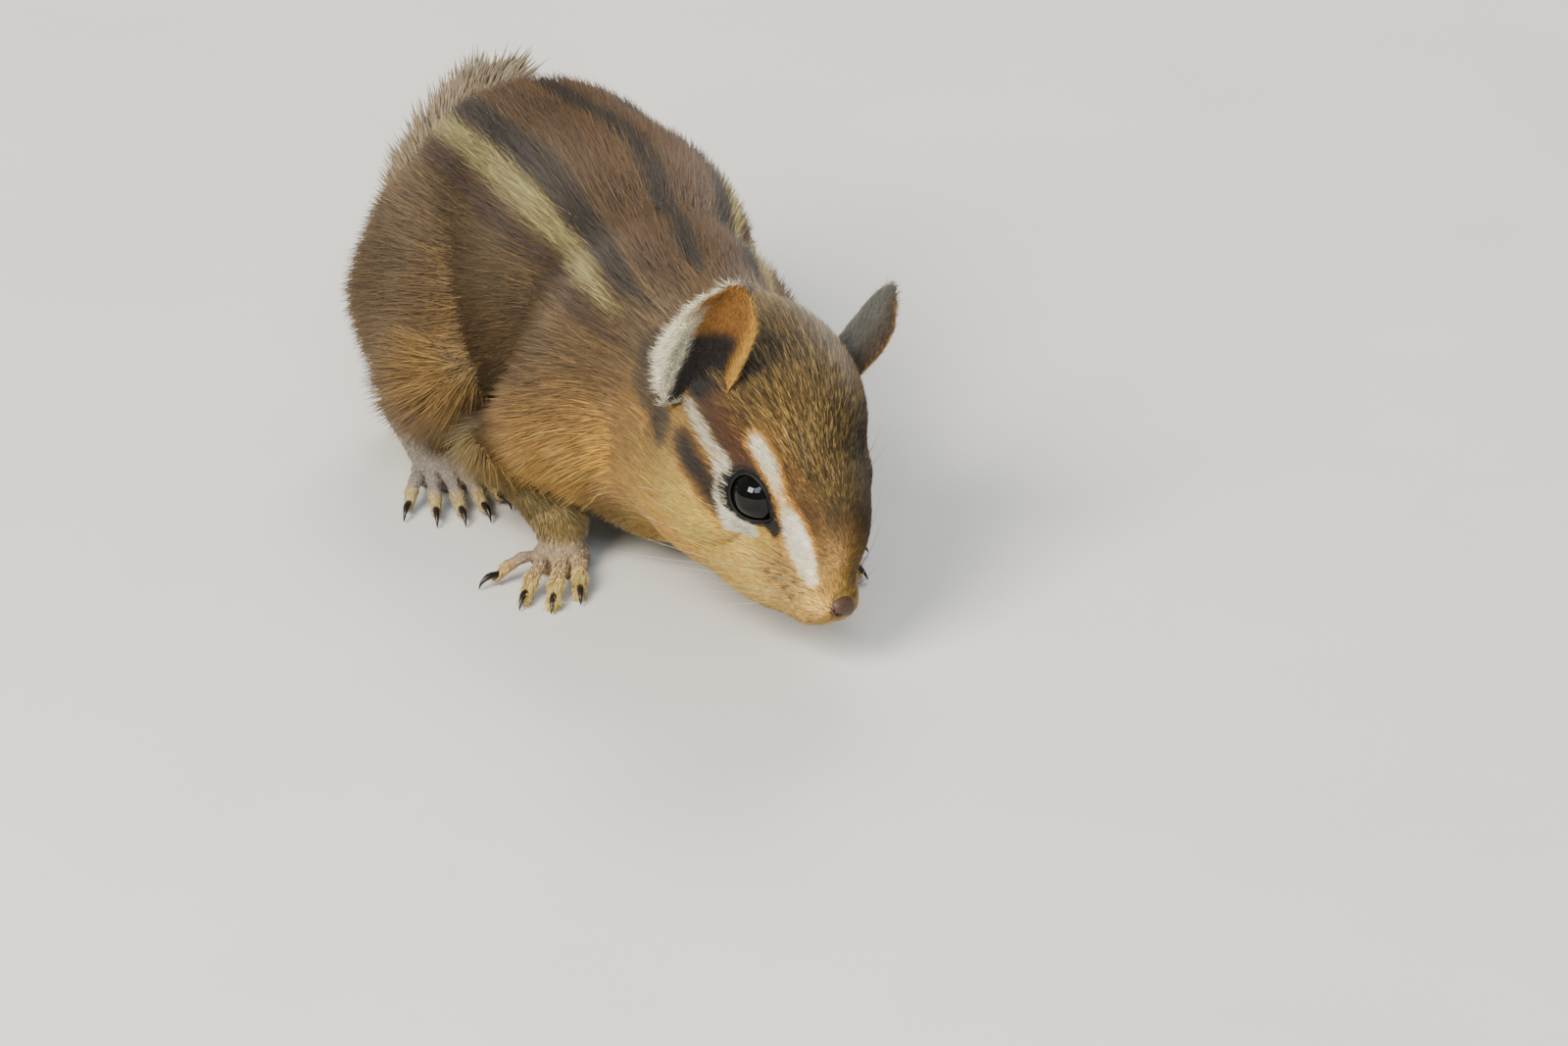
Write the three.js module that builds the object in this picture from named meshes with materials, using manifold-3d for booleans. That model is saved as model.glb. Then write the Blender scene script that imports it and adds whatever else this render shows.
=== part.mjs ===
// A western chipmunk, crouched on all fours with its head lowered and its tail laid out behind it.
// Millimetres. +X is the animal's left, -Y is the way it faces and +Z is up; it stands on z = 0.
// The flesh and short coat are one smooth distance field, which is drawn as a net of faces and
// parted into nodes by thin cuts. Ears, digits, claws and the long locks of the tail are swept.
import * as THREE from "three";
import { mergeVertices } from "three/addons/utils/BufferGeometryUtils.js";
import Module from "manifold-3d";

const wasm = await Module();
wasm.setup();

// Driving dimensions
const GAP = 0.3; // between nodes that touch
const EYE_HEIGHT = 23.1; // of the point midway between the eyes, over the floor
const EYE_REACH = 49.5; // of that point in front of the middle of the trunk
const HEAD_OFFSET = 7.8; // of that point towards the left
const HEAD_PITCH = 35.2; // degrees, nose down
const HEAD_ROLL = 12.8; // degrees, left side down
const HEAD_YAW = 14; // degrees, nose towards the left
const EYE_RADIUS = 3.5;
const TAIL_CORE = 3.2; // radius of the tail under its locks, at the root
const FINENESS = 0.07; // smallest detail that the solids keep
const LOCK_FINENESS = 0.1; // and in the locks of the tail
const BLEND_HEAD = 1.0; // softness of the joins between forms
const BLEND_BODY = 2.0;
const BLEND_LIMB = 1.0;
const BLEND_ALL = 1.6;
// Width of the quads that each part's surface is drawn with
const CELL = { head: 1.9, muzzle: 1.3, neck: 3.2, torso: 4.9, foreleg: 2.3, hindleg: 3.15, rump: 2.6 };

const V = (x, y, z) => new THREE.Vector3(x, y, z);
const radians = THREE.MathUtils.degToRad;
const mix = THREE.MathUtils.lerp;
const mirrored = (p) => V(-p.x, p.y, p.z);

// The head has its own frame: origin between the eyes, +X left, +Y back, +Z up.
const headFrame = new THREE.Matrix4()
  .makeRotationFromEuler(
    new THREE.Euler(
      radians(HEAD_PITCH),
      radians(HEAD_ROLL),
      radians(HEAD_YAW),
      "ZXY",
    ),
  )
  .setPosition(HEAD_OFFSET, -EYE_REACH, EYE_HEIGHT);
const headFrameBack = headFrame.clone().invert();
const onHead = (x, y, z) => V(x, y, z).applyMatrix4(headFrame);

// Forms of the distance field. Each gives the distance from its surface, negative inside.

function ellipsoid(x, y, z, rx, ry, rz, pitch = 0) {
  const c = Math.cos(radians(pitch));
  const s = Math.sin(radians(pitch));
  return (p) => {
    const dy = p.y - y;
    const dz = p.z - z;
    const u = (p.x - x) / rx;
    const v = (dy * c + dz * s) / ry;
    const w = (dz * c - dy * s) / rz;
    const near = Math.hypot(u, v, w);
    return (near * (near - 1)) / Math.max(Math.hypot(u / rx, v / ry, w / rz), 1e-6);
  };
}

function cone(a, b, ra, rb) {
  const along = b.clone().sub(a);
  const length2 = along.lengthSq();
  return (p) => {
    const t =
      ((p.x - a.x) * along.x + (p.y - a.y) * along.y + (p.z - a.z) * along.z) / length2;
    const h = Math.min(Math.max(t, 0), 1);
    return (
      Math.hypot(p.x - a.x - along.x * h, p.y - a.y - along.y * h, p.z - a.z - along.z * h) -
      mix(ra, rb, h)
    );
  };
}

const chain = (joints, radii) =>
  joints.slice(1).map((joint, i) => cone(joints[i], joint, radii[i], radii[i + 1]));

function blend(forms, softness) {
  return (p) => {
    let sum = 0;
    for (const form of forms) sum += Math.exp(-form(p) / softness);
    return -softness * Math.log(Math.max(sum, 1e-30));
  };
}

const bothSides = (make) => [-1, 1].flatMap((side) => make(side));

// Head

const EYE_PLACE = V(6.5, -0.6, -1.6); // middle of the left eyeball
const EYE_AXIS = V(0.94, -0.28, 0.18); // the way it looks
const LID = 0.6; // how far the lids stand over the eyeball
const NOSE_PLACE = V(0, -15.6, -5.2);
const NOSE_RADII = V(1.75, 1.6, 1.45);
const NOSTRIL = { place: V(0.95, -16.9, -5.35), radii: V(0.55, 0.5, 0.42) };
const EAR_PIT = { place: V(11.8, 13.5, 4.6), radii: V(2.6, 3.4, 3.7) }; // hollow before the ear
const headForms = [
  ellipsoid(0, 9.8, 2.0, 11.2, 13.2, 10.6), // cranium
  ellipsoid(0, -1.5, -0.5, 7.3, 11.5, 7.4, 14), // brow and bridge
  cone(V(0, -4.0, -4.2), V(0, -14.0, -5.9), 6.2, 2.3), // muzzle
  ellipsoid(0, 0.5, -11.2, 7.2, 12.0, 7.4, -6), // lower jaw
  ellipsoid(0, 10.0, -14.2, 9.4, 13.0, 8.2), // throat
  ellipsoid(0, -9.6, -10.4, 2.8, 5.2, 2.5, -8), // chin
  ...bothSides((side) => [
    ellipsoid(side * 6.6, 6.0, -6.4, 5.8, 9.0, 7.8), // cheek
    ellipsoid(side * 2.0, -11.8, -6.7, 2.3, 4.2, 2.7), // whisker pad
    ellipsoid(side * 5.6, 0.8, 2.6, 2.3, 4.6, 2.0), // brow ridge
    ellipsoid(
      side * EYE_PLACE.x,
      EYE_PLACE.y,
      EYE_PLACE.z,
      ...Array(3).fill(EYE_RADIUS + LID),
    ), // lids
  ]),
];
const headField = blend(headForms, BLEND_HEAD);
const headDistance = (p) => headField(p.clone().applyMatrix4(headFrameBack));

// Torso, from the neck to the root of the tail

const torsoForms = [
  cone(onHead(0, 15, -1.5), V(2, -20, 27), 10.6, 14.5), // neck
  cone(onHead(0, 10, -10.5), V(1, -20, 14.5), 9.2, 10.8), // front of the neck
  ellipsoid(2, -13, 24, 15.5, 17, 18), // chest
  ellipsoid(2, 7, 28, 18.5, 24, 18.5), // back
  ellipsoid(1.5, 9, 19.5, 17.5, 23, 13), // belly
  ellipsoid(1, 25, 27, 18, 20, 17.5), // loin
  cone(V(0.5, 34, 22), V(0, 50, 12), 12, 5.2), // rump
  ...bothSides((side) => [
    ellipsoid(side * 9.5 + 1.5, -17, 22, 8, 11, 12), // shoulder
    ellipsoid(side * 14.5, 22, 19.8, 8.5, 17, 13.6, 20), // haunch
  ]),
];

// Legs. Each is a chain of joints on the right side, mirrored and moved for the left.

const foreLeg = {
  joints: [V(-12, -17, 20), V(-15.8, -6.5, 12.5), V(-12.5, -17.2, 5.4)],
  radii: [7.2, 4.9, 2.9],
};
const hindLeg = {
  joints: [V(-14, 24, 19), V(-18.5, 9.5, 14.5), V(-17.5, 26.5, 6.6)],
  radii: [10.5, 6.8, 3.4],
};
const foreShift = V(0, -6, 0); // the left forepaw stands ahead
const hindShift = V(0, 4, 0); // the left hind foot stands a little behind

const leftOf = (leg, shift) => ({
  joints: leg.joints.map((joint, i) =>
    mirrored(joint).addScaledVector(shift, i / (leg.joints.length - 1)),
  ),
  radii: leg.radii,
});
const legs = {
  foreleg_right: foreLeg,
  foreleg_left: leftOf(foreLeg, foreShift),
  hindleg_right: hindLeg,
  hindleg_left: leftOf(hindLeg, hindShift),
};

const bodyField = blend(
  [
    headDistance,
    blend(torsoForms, BLEND_BODY),
    ...Object.values(legs).map((leg) => blend(chain(leg.joints, leg.radii), BLEND_LIMB)),
  ],
  BLEND_ALL,
);

// Solids

function solid(geometry) {
  const bare = new THREE.BufferGeometry().setIndex(geometry.index);
  bare.setAttribute("position", geometry.getAttribute("position"));
  const merged = mergeVertices(bare, 1e-4);
  const triVerts = Uint32Array.from(merged.index.array);
  const vertProperties = Float32Array.from(merged.attributes.position.array);
  const corner = (i) => V().fromArray(vertProperties, 3 * triVerts[i]);
  let volume = 0;
  for (let i = 0; i < triVerts.length; i += 3)
    volume += corner(i).dot(corner(i + 1).cross(corner(i + 2)));
  if (volume < 0) triVerts.reverse(); // so that its faces point out
  return new wasm.Manifold(new wasm.Mesh({ numProp: 3, vertProperties, triVerts }));
}

const union = (solids) => wasm.Manifold.union(solids);

function largest(made) {
  return made.decompose().reduce((a, b) => (b.volume() > a.volume() ? b : a));
}

// Draws where field is `level` inside the box from low to high, as a net of quads `cell` wide.
function net(field, low, high, cell, level = 0) {
  const count = high.clone().sub(low).divideScalar(cell).ceil().addScalar(1);
  const [nx, ny, nz] = [count.x, count.y, count.z];
  const at = (i, j, k) => i + nx * (j + ny * k);
  const point = (i, j, k) => V(low.x + i * cell, low.y + j * cell, low.z + k * cell);
  const values = new Float64Array(nx * ny * nz).fill(cell);
  for (let k = 1; k < nz - 1; k++)
    for (let j = 1; j < ny - 1; j++)
      for (let i = 1; i < nx - 1; i++) values[at(i, j, k)] = field(point(i, j, k)) - level;
  const corners = [0, 1].flatMap((k) => [0, 1].flatMap((j) => [0, 1].map((i) => [i, j, k])));
  const edges = corners.flatMap((a, m) =>
    corners.flatMap((b, n) =>
      n > m && Math.abs(a[0] - b[0]) + Math.abs(a[1] - b[1]) + Math.abs(a[2] - b[2]) === 1
        ? [[a, b]]
        : [],
    ),
  );
  const positions = [];
  const vertexOf = new Map();
  const vertex = (i, j, k) => {
    const key = at(i, j, k);
    if (vertexOf.has(key)) return vertexOf.get(key);
    const sum = V(0, 0, 0);
    let crossings = 0;
    for (const [a, b] of edges) {
      const va = values[at(i + a[0], j + a[1], k + a[2])];
      const vb = values[at(i + b[0], j + b[1], k + b[2])];
      if (va < 0 === vb < 0) continue;
      sum.add(
        point(i + a[0], j + a[1], k + a[2]).lerp(
          point(i + b[0], j + b[1], k + b[2]),
          va / (va - vb),
        ),
      );
      crossings++;
    }
    const p = sum.divideScalar(crossings);
    settle(field, p, cell, level);
    positions.push(p.x, p.y, p.z);
    vertexOf.set(key, positions.length / 3 - 1);
    return positions.length / 3 - 1;
  };
  const index = [];
  const quad = (inside, ...cells) => {
    const [a, b, c, d] = cells.map((cellAt) => vertex(...cellAt));
    index.push(...(inside ? [a, b, c, a, c, d] : [a, c, b, a, d, c]));
  };
  for (let k = 1; k < nz - 1; k++)
    for (let j = 1; j < ny - 1; j++)
      for (let i = 1; i < nx - 1; i++) {
        const here = values[at(i, j, k)] < 0;
        for (const [di, dj, dk] of [[1, 0, 0], [0, 1, 0], [0, 0, 1]]) {
          if (here === values[at(i + di, j + dj, k + dk)] < 0) continue;
          const u = di ? [0, 1, 0] : dj ? [0, 0, 1] : [1, 0, 0];
          const v = di ? [0, 0, 1] : dj ? [1, 0, 0] : [0, 1, 0];
          quad(
            here,
            [i - u[0] - v[0], j - u[1] - v[1], k - u[2] - v[2]],
            [i - v[0], j - v[1], k - v[2]],
            [i, j, k],
            [i - u[0], j - u[1], k - u[2]],
          );
        }
        if (!here) continue;
        // An inside point next to the low border has its outside neighbour one step down.
        for (const [di, dj, dk] of [[1, 0, 0], [0, 1, 0], [0, 0, 1]]) {
          const atBorder = (di && i === 1) || (dj && j === 1) || (dk && k === 1);
          if (!atBorder) continue;
          const u = di ? [0, 1, 0] : dj ? [0, 0, 1] : [1, 0, 0];
          const v = di ? [0, 0, 1] : dj ? [1, 0, 0] : [0, 1, 0];
          const [i0, j0, k0] = [i - di, j - dj, k - dk];
          quad(
            false,
            [i0 - u[0] - v[0], j0 - u[1] - v[1], k0 - u[2] - v[2]],
            [i0 - v[0], j0 - v[1], k0 - v[2]],
            [i0, j0, k0],
            [i0 - u[0], j0 - u[1], k0 - u[2]],
          );
        }
      }
  const geometry = new THREE.BufferGeometry();
  geometry.setAttribute("position", new THREE.Float32BufferAttribute(positions, 3));
  geometry.setIndex(index);
  return solid(geometry);
}

// Moves a net's vertex on to the field's surface along the field's slope.
function settle(field, p, cell, level) {
  const step = 0.02;
  for (let round = 0; round < 2; round++) {
    const d = field(p) - level;
    if (Math.abs(d) > 0.5 * cell) return;
    const slope = V(
      field(V(p.x + step, p.y, p.z)) - field(V(p.x - step, p.y, p.z)),
      field(V(p.x, p.y + step, p.z)) - field(V(p.x, p.y - step, p.z)),
      field(V(p.x, p.y, p.z + step)) - field(V(p.x, p.y, p.z - step)),
    ).divideScalar(2 * step);
    p.addScaledVector(slope, -d / Math.max(slope.lengthSq(), 0.1));
  }
}

function box(low, high) {
  const size = high.clone().sub(low);
  const middle = low.clone().add(high).multiplyScalar(0.5);
  return solid(
    new THREE.BoxGeometry(size.x, size.y, size.z).translate(middle.x, middle.y, middle.z),
  );
}

// The half of space behind a plane, as a large block: from `point` on, along `normal`.
function halfSpace(point, normal) {
  const reach = 400;
  const turn = new THREE.Quaternion().setFromUnitVectors(V(0, 0, 1), normal.clone().normalize());
  const block = new THREE.BoxGeometry(reach, reach, reach).translate(0, 0, reach / 2);
  return solid(block.applyQuaternion(turn).translate(point.x, point.y, point.z));
}

function ball(centre, rx, ry, rz, turn = new THREE.Euler(), facets = 20) {
  const sphere = new THREE.SphereGeometry(1, facets, Math.round(facets * 0.6)).scale(rx, ry, rz);
  const placed = sphere
    .applyQuaternion(new THREE.Quaternion().setFromEuler(turn))
    .translate(centre.x, centre.y, centre.z);
  return solid(placed);
}

// A closed body from rings of points with the same count, capped by a point at each end.
function skinned(rings, first, last) {
  const n = rings[0].length;
  const positions = [first, ...rings.flat(), last].flatMap((p) => [p.x, p.y, p.z]);
  const end = 1 + rings.length * n;
  const index = [];
  for (let i = 0; i < n; i++) {
    const next = (i + 1) % n;
    index.push(0, 1 + next, 1 + i);
    index.push(end, end - n + i, end - n + next);
    for (let r = 0; r + 1 < rings.length; r++) {
      const a = 1 + r * n + i;
      const b = 1 + r * n + next;
      index.push(a, b, b + n, a, b + n, a + n);
    }
  }
  const geometry = new THREE.BufferGeometry();
  geometry.setAttribute("position", new THREE.Float32BufferAttribute(positions, 3));
  geometry.setIndex(index);
  return solid(geometry);
}

// A round-ended tube through joints, with an oval section: `wide` scales it across, `tall` upwards.
function tube(joints, radii, { sides = 8, steps = 6, wide = 1, tall = 1, blunt = 0.6 } = {}) {
  const path = new THREE.CatmullRomCurve3(joints, false, "centripetal");
  const radiusAt = (t) => {
    const place = t * (radii.length - 1);
    const i = Math.min(Math.floor(place), radii.length - 2);
    return mix(radii[i], radii[i + 1], place - i);
  };
  const rings = [];
  for (let s = 0; s <= steps; s++) {
    const t = s / steps;
    const middle = path.getPoint(t);
    const along = path.getTangent(t);
    const across = V(0, 0, 1).cross(along).normalize();
    const up = along.clone().cross(across);
    const r = radiusAt(t) * (s === 0 || s === steps ? 0.8 : 1);
    rings.push(
      Array.from({ length: sides }, (_, i) => {
        const angle = (2 * Math.PI * (i + 0.5)) / sides;
        return middle
          .clone()
          .addScaledVector(across, Math.cos(angle) * r * wide)
          .addScaledVector(up, Math.sin(angle) * r * tall);
      }),
    );
  }
  const cap = (t, way) =>
    path.getPoint(t).addScaledVector(path.getTangent(t), way * blunt * radiusAt(t));
  return skinned(rings, cap(0, -1), cap(1, 1));
}

// Digits and claws of one foot. Places are along and across the foot's own heading.

const FORE_FOOT = {
  digits: [
    { across: -3.0, turn: -46, length: 5.6, radius: 0.85 },
    { across: -1.4, turn: -8, length: 8.4, radius: 0.9 },
    { across: 0.7, turn: 2, length: 8.6, radius: 0.9 },
    { across: 2.5, turn: 12, length: 5.8, radius: 0.82 },
  ],
  root: 1.8, // how far in front of the palm's middle the digits start
  knuckle: 2.9, // height of the middle joint
  claw: 2.6,
  thumb: { across: 3.2, back: -0.6, radius: 0.9 },
};
const HIND_FOOT = {
  digits: [
    { across: -3.4, turn: -24, length: 6.2, radius: 1.0 },
    { across: -1.8, turn: -8, length: 8.2, radius: 1.05 },
    { across: 0.0, turn: 1, length: 8.6, radius: 1.05 },
    { across: 1.8, turn: 9, length: 8.2, radius: 1.05 },
    { across: 3.3, turn: 24, length: 5.8, radius: 0.95 },
  ],
  root: 2.2,
  knuckle: 3.0,
  claw: 2.6,
};

function digitsOf(foot, middle, heading, side) {
  const place = (across, ahead, z) => {
    const a = across * side;
    return V(
      middle.x + a * Math.cos(heading) + ahead * Math.sin(heading),
      middle.y + a * Math.sin(heading) - ahead * Math.cos(heading),
      z,
    );
  };
  const made = [];
  for (const { across, turn, length, radius } of foot.digits) {
    const t = radians(turn);
    const point = (share, z) =>
      place(across + Math.sin(t) * length * share, foot.root + Math.cos(t) * length * share, z);
    made.push(
      tube(
        [
          point(-0.35, 2.4),
          point(0.3, foot.knuckle),
          point(0.72, foot.knuckle - 0.6),
          point(1, 1.15),
        ],
        [radius * 1.1, radius * 1.05, radius, radius * 0.9],
        { sides: 5, steps: 3 },
      ),
    );
    const tip = 1 + foot.claw / length;
    made.push(
      tube(
        [point(0.86, 1.9), point(mix(1, tip, 0.5), 1.75), point(tip, 0.45)],
        [0.55, 0.42, 0.12],
        { sides: 4, steps: 2, wide: 0.75 },
      ),
    );
  }
  if (foot.thumb) {
    const { across, back, radius } = foot.thumb;
    made.push(ball(place(across, -back, 1.5), radius, radius, radius, undefined, 8));
  }
  return made;
}

// Ears

// A leaf-shaped cup between a front rim and a rear rim, which meet at its tip. `deep` runs along
// its back. Places are in the head's frame, for the left ear.
const EAR = {
  front: [V(9.9, 9.4, 2.8), V(10.5, 10.4, 9.5), V(11.0, 12.4, 15.0), V(12.4, 15.8, 18.6)],
  deep: [V(8.6, 13.6, 1.5), V(8.6, 16.8, 8.5), V(10.2, 17.8, 14.0), V(12.3, 16.2, 18.9)],
  rear: [V(12.2, 14.2, -3.2), V(15.0, 17.0, 4.5), V(14.8, 17.8, 12.0), V(12.6, 16.4, 18.6)],
  thick: 1.3,
  flare: 1.6, // how much further out the left ear stands half way up
  leftTip: V(1.0, -1.0, -3.2), // and how its tip is set off, as it is turned outwards
};

function ear(side) {
  const curve = (places) => new THREE.CatmullRomCurve3(places, false, "centripetal");
  const [front, deep, rear] = [EAR.front, EAR.deep, EAR.rear].map(curve);
  const rows = 9;
  const columns = 6;
  const at = (t, u, outer) => {
    const [f, d, r] = [front, deep, rear].map((line) => line.getPoint(t));
    const p = f
      .clone()
      .multiplyScalar((1 - u) ** 2)
      .addScaledVector(d, 2 * u * (1 - u))
      .addScaledVector(r, u ** 2);
    if (!outer) return p;
    const behind = d.clone().sub(f.clone().add(r).multiplyScalar(0.5)).normalize();
    const middle = 1 - (2 * u - 1) ** 2;
    return p.addScaledVector(behind, EAR.thick * (0.55 + 0.45 * middle) * mix(1, 0.6, t));
  };
  const rings = [];
  for (let r = 0; r <= rows; r++) {
    const t = (0.985 * r) / rows;
    const ring = [];
    for (let i = 0; i <= columns; i++) ring.push(at(t, i / columns, false));
    for (let i = columns; i >= 0; i--) ring.push(at(t, i / columns, true));
    if (side > 0)
      for (const p of ring) {
        p.x += EAR.flare * Math.sin(Math.PI * t);
        p.addScaledVector(EAR.leftTip, t);
      }
    rings.push(ring.map((p) => V(side * p.x, p.y, p.z).applyMatrix4(headFrame)));
  }
  const middleOf = (ring) =>
    ring.reduce((sum, p) => sum.add(p), V(0, 0, 0)).divideScalar(ring.length);
  return skinned(rings, middleOf(rings[0]), middleOf(rings[rows]));
}

// Tail. A slim core carries rings of long flat locks, widest to the sides, that bend back along it.

const TAIL_WIDE = 10.5; // reach of the locks to each side of the core's middle
const TAIL_TALL = 5.2; // reach above and below it
const TAIL_SLANT = 0.55; // how fast the parting between two lengths widens to the sides
const tailPath = new THREE.CatmullRomCurve3(
  [V(0, 46, 12), V(0.5, 54, 8), V(3, 69, 5.6), V(9, 88, 5.0), V(17, 104, 5.0), V(24, 116, 5.0)],
  false,
  "centripetal",
);

function tailFrame(t) {
  const middle = tailPath.getPointAt(Math.min(t, 1));
  const along = tailPath.getTangentAt(Math.min(t, 1));
  const across = V(0, 0, 1).cross(along).normalize();
  return { middle, along, across, up: along.clone().cross(across) };
}

const oval = (angle, wide, tall) =>
  1 / Math.hypot(Math.cos(angle) / wide, Math.sin(angle) / tall);
const tailCore = (t) => mix(TAIL_CORE, 1.3, t);
const tailFull = (t) => mix(0.72, 1, Math.min(t / 0.3, 1)) * mix(1, 0.62, Math.max(t - 0.5, 0) * 2);

// One lock that leaves the core at `angle` round it.
function lock(t, angle, length, width) {
  const { middle, along, across, up } = tailFrame(t);
  const out = across
    .clone()
    .multiplyScalar(Math.cos(angle))
    .addScaledVector(up, Math.sin(angle));
  const flatways = along.clone().cross(out).normalize();
  const thick = 1.5;
  const start = tailCore(t) * 0.5;
  const reach = oval(angle, TAIL_WIDE, TAIL_TALL) * tailFull(t);
  const line = (share) =>
    middle
      .clone()
      .addScaledVector(along, length * share)
      .addScaledVector(out, start + (reach - start) * (1.5 * share - 0.5 * share * share));
  const rings = [0, 0.55].map((share) => {
    const p = line(share);
    const w = (width / 2) * (share ? 0.9 : 0.35);
    const h = (thick / 2) * (1 - 0.4 * share);
    return [
      p.clone().addScaledVector(flatways, w),
      p.clone().addScaledVector(out, h),
      p.clone().addScaledVector(flatways, -w),
      p.clone().addScaledVector(out, -h),
    ];
  });
  const root = middle.clone().addScaledVector(out, 0.2);
  return skinned(rings, root, line(1));
}

// A funnel that opens backwards from t0, past the locks of the length before it.
function funnel(t0, start, slant = TAIL_SLANT) {
  const length = tailPath.getLength();
  const rings = [];
  const steps = 8;
  for (let i = 0; i <= steps; i++) {
    const past = (i / steps) * ((1 - t0) * length + 30);
    const { middle, along, across, up } = tailFrame(t0 + past / length);
    const over = Math.max(t0 * length + past - length, 0);
    const wide = start + slant * past;
    const tall = start + slant * 0.55 * past;
    rings.push(
      Array.from({ length: 16 }, (_, k) => {
        const angle = (2 * Math.PI * k) / 16;
        return middle
          .clone()
          .addScaledVector(along, over)
          .addScaledVector(across, Math.cos(angle) * wide)
          .addScaledVector(up, Math.sin(angle) * tall);
      }),
    );
  }
  const middleOf = (ring) =>
    ring.reduce((sum, p) => sum.add(p), V(0, 0, 0)).divideScalar(ring.length);
  return skinned(rings, middleOf(rings[0]), middleOf(rings[steps]));
}

function tailLength(from, to, rounds, perRound) {
  const pieces = [];
  const steps = 6;
  const core = Array.from({ length: steps + 1 }, (_, i) => mix(from, to, i / steps));
  pieces.push(
    tube(
      core.map((t) => tailFrame(t).middle),
      core.map(tailCore),
      { sides: 8, steps },
    ),
  );
  for (let round = 0; round < rounds; round++)
    for (let k = 0; k < perRound; k++) {
      const t = mix(from, to, (round + 0.4) / rounds);
      const angle = (2 * Math.PI * (k + (round % 2) / 2)) / perRound;
      const sideways = Math.abs(Math.cos(angle));
      pieces.push(lock(t, angle, mix(11, 16, sideways) + (k % 3), 8.2 - 1.8 * t));
    }
  return union(pieces);
}

// Assembly

const FLOOR = halfSpace(V(0, 0, 0), V(0, 0, 1));
const onFloor = (made) => made.intersect(FLOOR);
const around = (centre, half) => [centre.clone().sub(half), centre.clone().add(half)];
const before = (point, normal) => halfSpace(point, normal.clone().negate());

const group = new THREE.Group();
function add(name, made, colour, roughness = 0.9, fineness = FINENESS) {
  const mesh = largest(largest(made).simplify(fineness)).getMesh();
  const geometry = new THREE.BufferGeometry();
  geometry.setAttribute("position", new THREE.BufferAttribute(mesh.vertProperties, 3));
  geometry.setIndex(new THREE.BufferAttribute(mesh.triVerts, 1));
  const material = new THREE.MeshStandardMaterial({ color: colour, roughness, metalness: 0 });
  const node = new THREE.Mesh(geometry, material);
  node.name = name;
  group.add(node);
}

const TAWNY = "#9a6a33";
const OLIVE = "#7d6238";
const PAW = "#b59f86";

// Where the head meets the neck, and the neck the torso: a point of each cut, and its way back
const onHeadWay = (x, y, z) => onHead(x, y, z).sub(onHead(0, 0, 0)).normalize();
const nape = { point: onHead(0, 17.5, 0), way: onHeadWay(0, 0.913, -0.41) };
const shoulder = { point: V(1, -26.5, 26), way: V(-0.1, 1, 0.08).normalize() };
const cut = ({ point, way }) => ({
  ahead: before(point.clone().addScaledVector(way, -GAP / 2), way),
  behind: halfSpace(point.clone().addScaledVector(way, GAP / 2), way),
});
const napeCut = cut(nape);
const shoulderCut = cut(shoulder);

const headBox = around(onHead(0, 3, -2), V(18, 28, 23));
const headNet = net(bodyField, ...headBox, CELL.head);
const eyes = {};
const ears = {};
let head = headNet.intersect(napeCut.ahead);
for (const side of [-1, 1]) {
  const centre = onHead(side * EYE_PLACE.x, EYE_PLACE.y, EYE_PLACE.z);
  const way = onHeadWay(side * EYE_AXIS.x, EYE_AXIS.y, EYE_AXIS.z);
  const turn = new THREE.Quaternion().setFromUnitVectors(V(0, -1, 0), way);
  const sphere = (radius) => ball(centre, radius, radius, radius, undefined, 14);
  // The opening between the lids: a cone from the eyeball's middle, kept to the lids' thickness.
  const [coneWide, coneDeep] = [9.6, 5.5];
  const opening = solid(
    new THREE.ConeGeometry(coneWide, coneDeep, 20)
      .translate(0, -coneDeep / 2, 0)
      .scale(1, 1, 0.94)
      .applyQuaternion(turn)
      .translate(centre.x, centre.y, centre.z),
  );
  head = head.add(sphere(EYE_RADIUS + LID).intersect(napeCut.ahead));
  head = head.subtract(sphere(EYE_RADIUS + GAP));
  head = head.subtract(opening.intersect(sphere(EYE_RADIUS + LID + 0.8)));
  eyes[side] = sphere(EYE_RADIUS);
}

// The line of the mouth: a groove that follows the muzzle's side
const MOUTH = {
  line: [V(0, -17.5, -7.7), V(0, -14.5, -8.2), V(0, -11, -8.0), V(0, -7.4, -8.6)],
  width: 0.5,
  depth: 0.7,
  reach: 12, // to each side, past the muzzle
};
const mouthShape = new THREE.Shape([
  ...MOUTH.line.map((p) => new THREE.Vector2(p.y, p.z + MOUTH.width / 2)),
  ...MOUTH.line.toReversed().map((p) => new THREE.Vector2(p.y, p.z - MOUTH.width / 2)),
]);
const mouthSheet = solid(
  new THREE.ExtrudeGeometry(mouthShape, { depth: 2 * MOUTH.reach, bevelEnabled: false })
    .applyMatrix4(new THREE.Matrix4().makeBasis(V(0, 1, 0), V(0, 0, 1), V(1, 0, 0)))
    .translate(-MOUTH.reach, 0, 0)
    .applyMatrix4(headFrame),
);
const muzzleBox = around(onHead(0, -10, -6), V(12, 13, 12));
const muzzleCore = net(bodyField, ...muzzleBox, CELL.muzzle, -MOUTH.depth);
head = head.subtract(mouthSheet.subtract(muzzleCore));

// The nose pad with its two nostrils
const headTurn = new THREE.Euler().setFromRotationMatrix(headFrame);
const headBall = ({ x, y, z }, radii, grow, facets) =>
  ball(onHead(x, y, z), radii.x + grow, radii.y + grow, radii.z + grow, headTurn, facets);
const noseBall = (grow) => headBall(NOSE_PLACE, NOSE_RADII, grow, 12);
let nose = noseBall(0).subtract(headBall(NOSTRIL.place, NOSTRIL.radii, 0, 8));
nose = nose.subtract(headBall(mirrored(NOSTRIL.place), NOSTRIL.radii, 0, 8));
head = head.subtract(noseBall(GAP));

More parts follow.
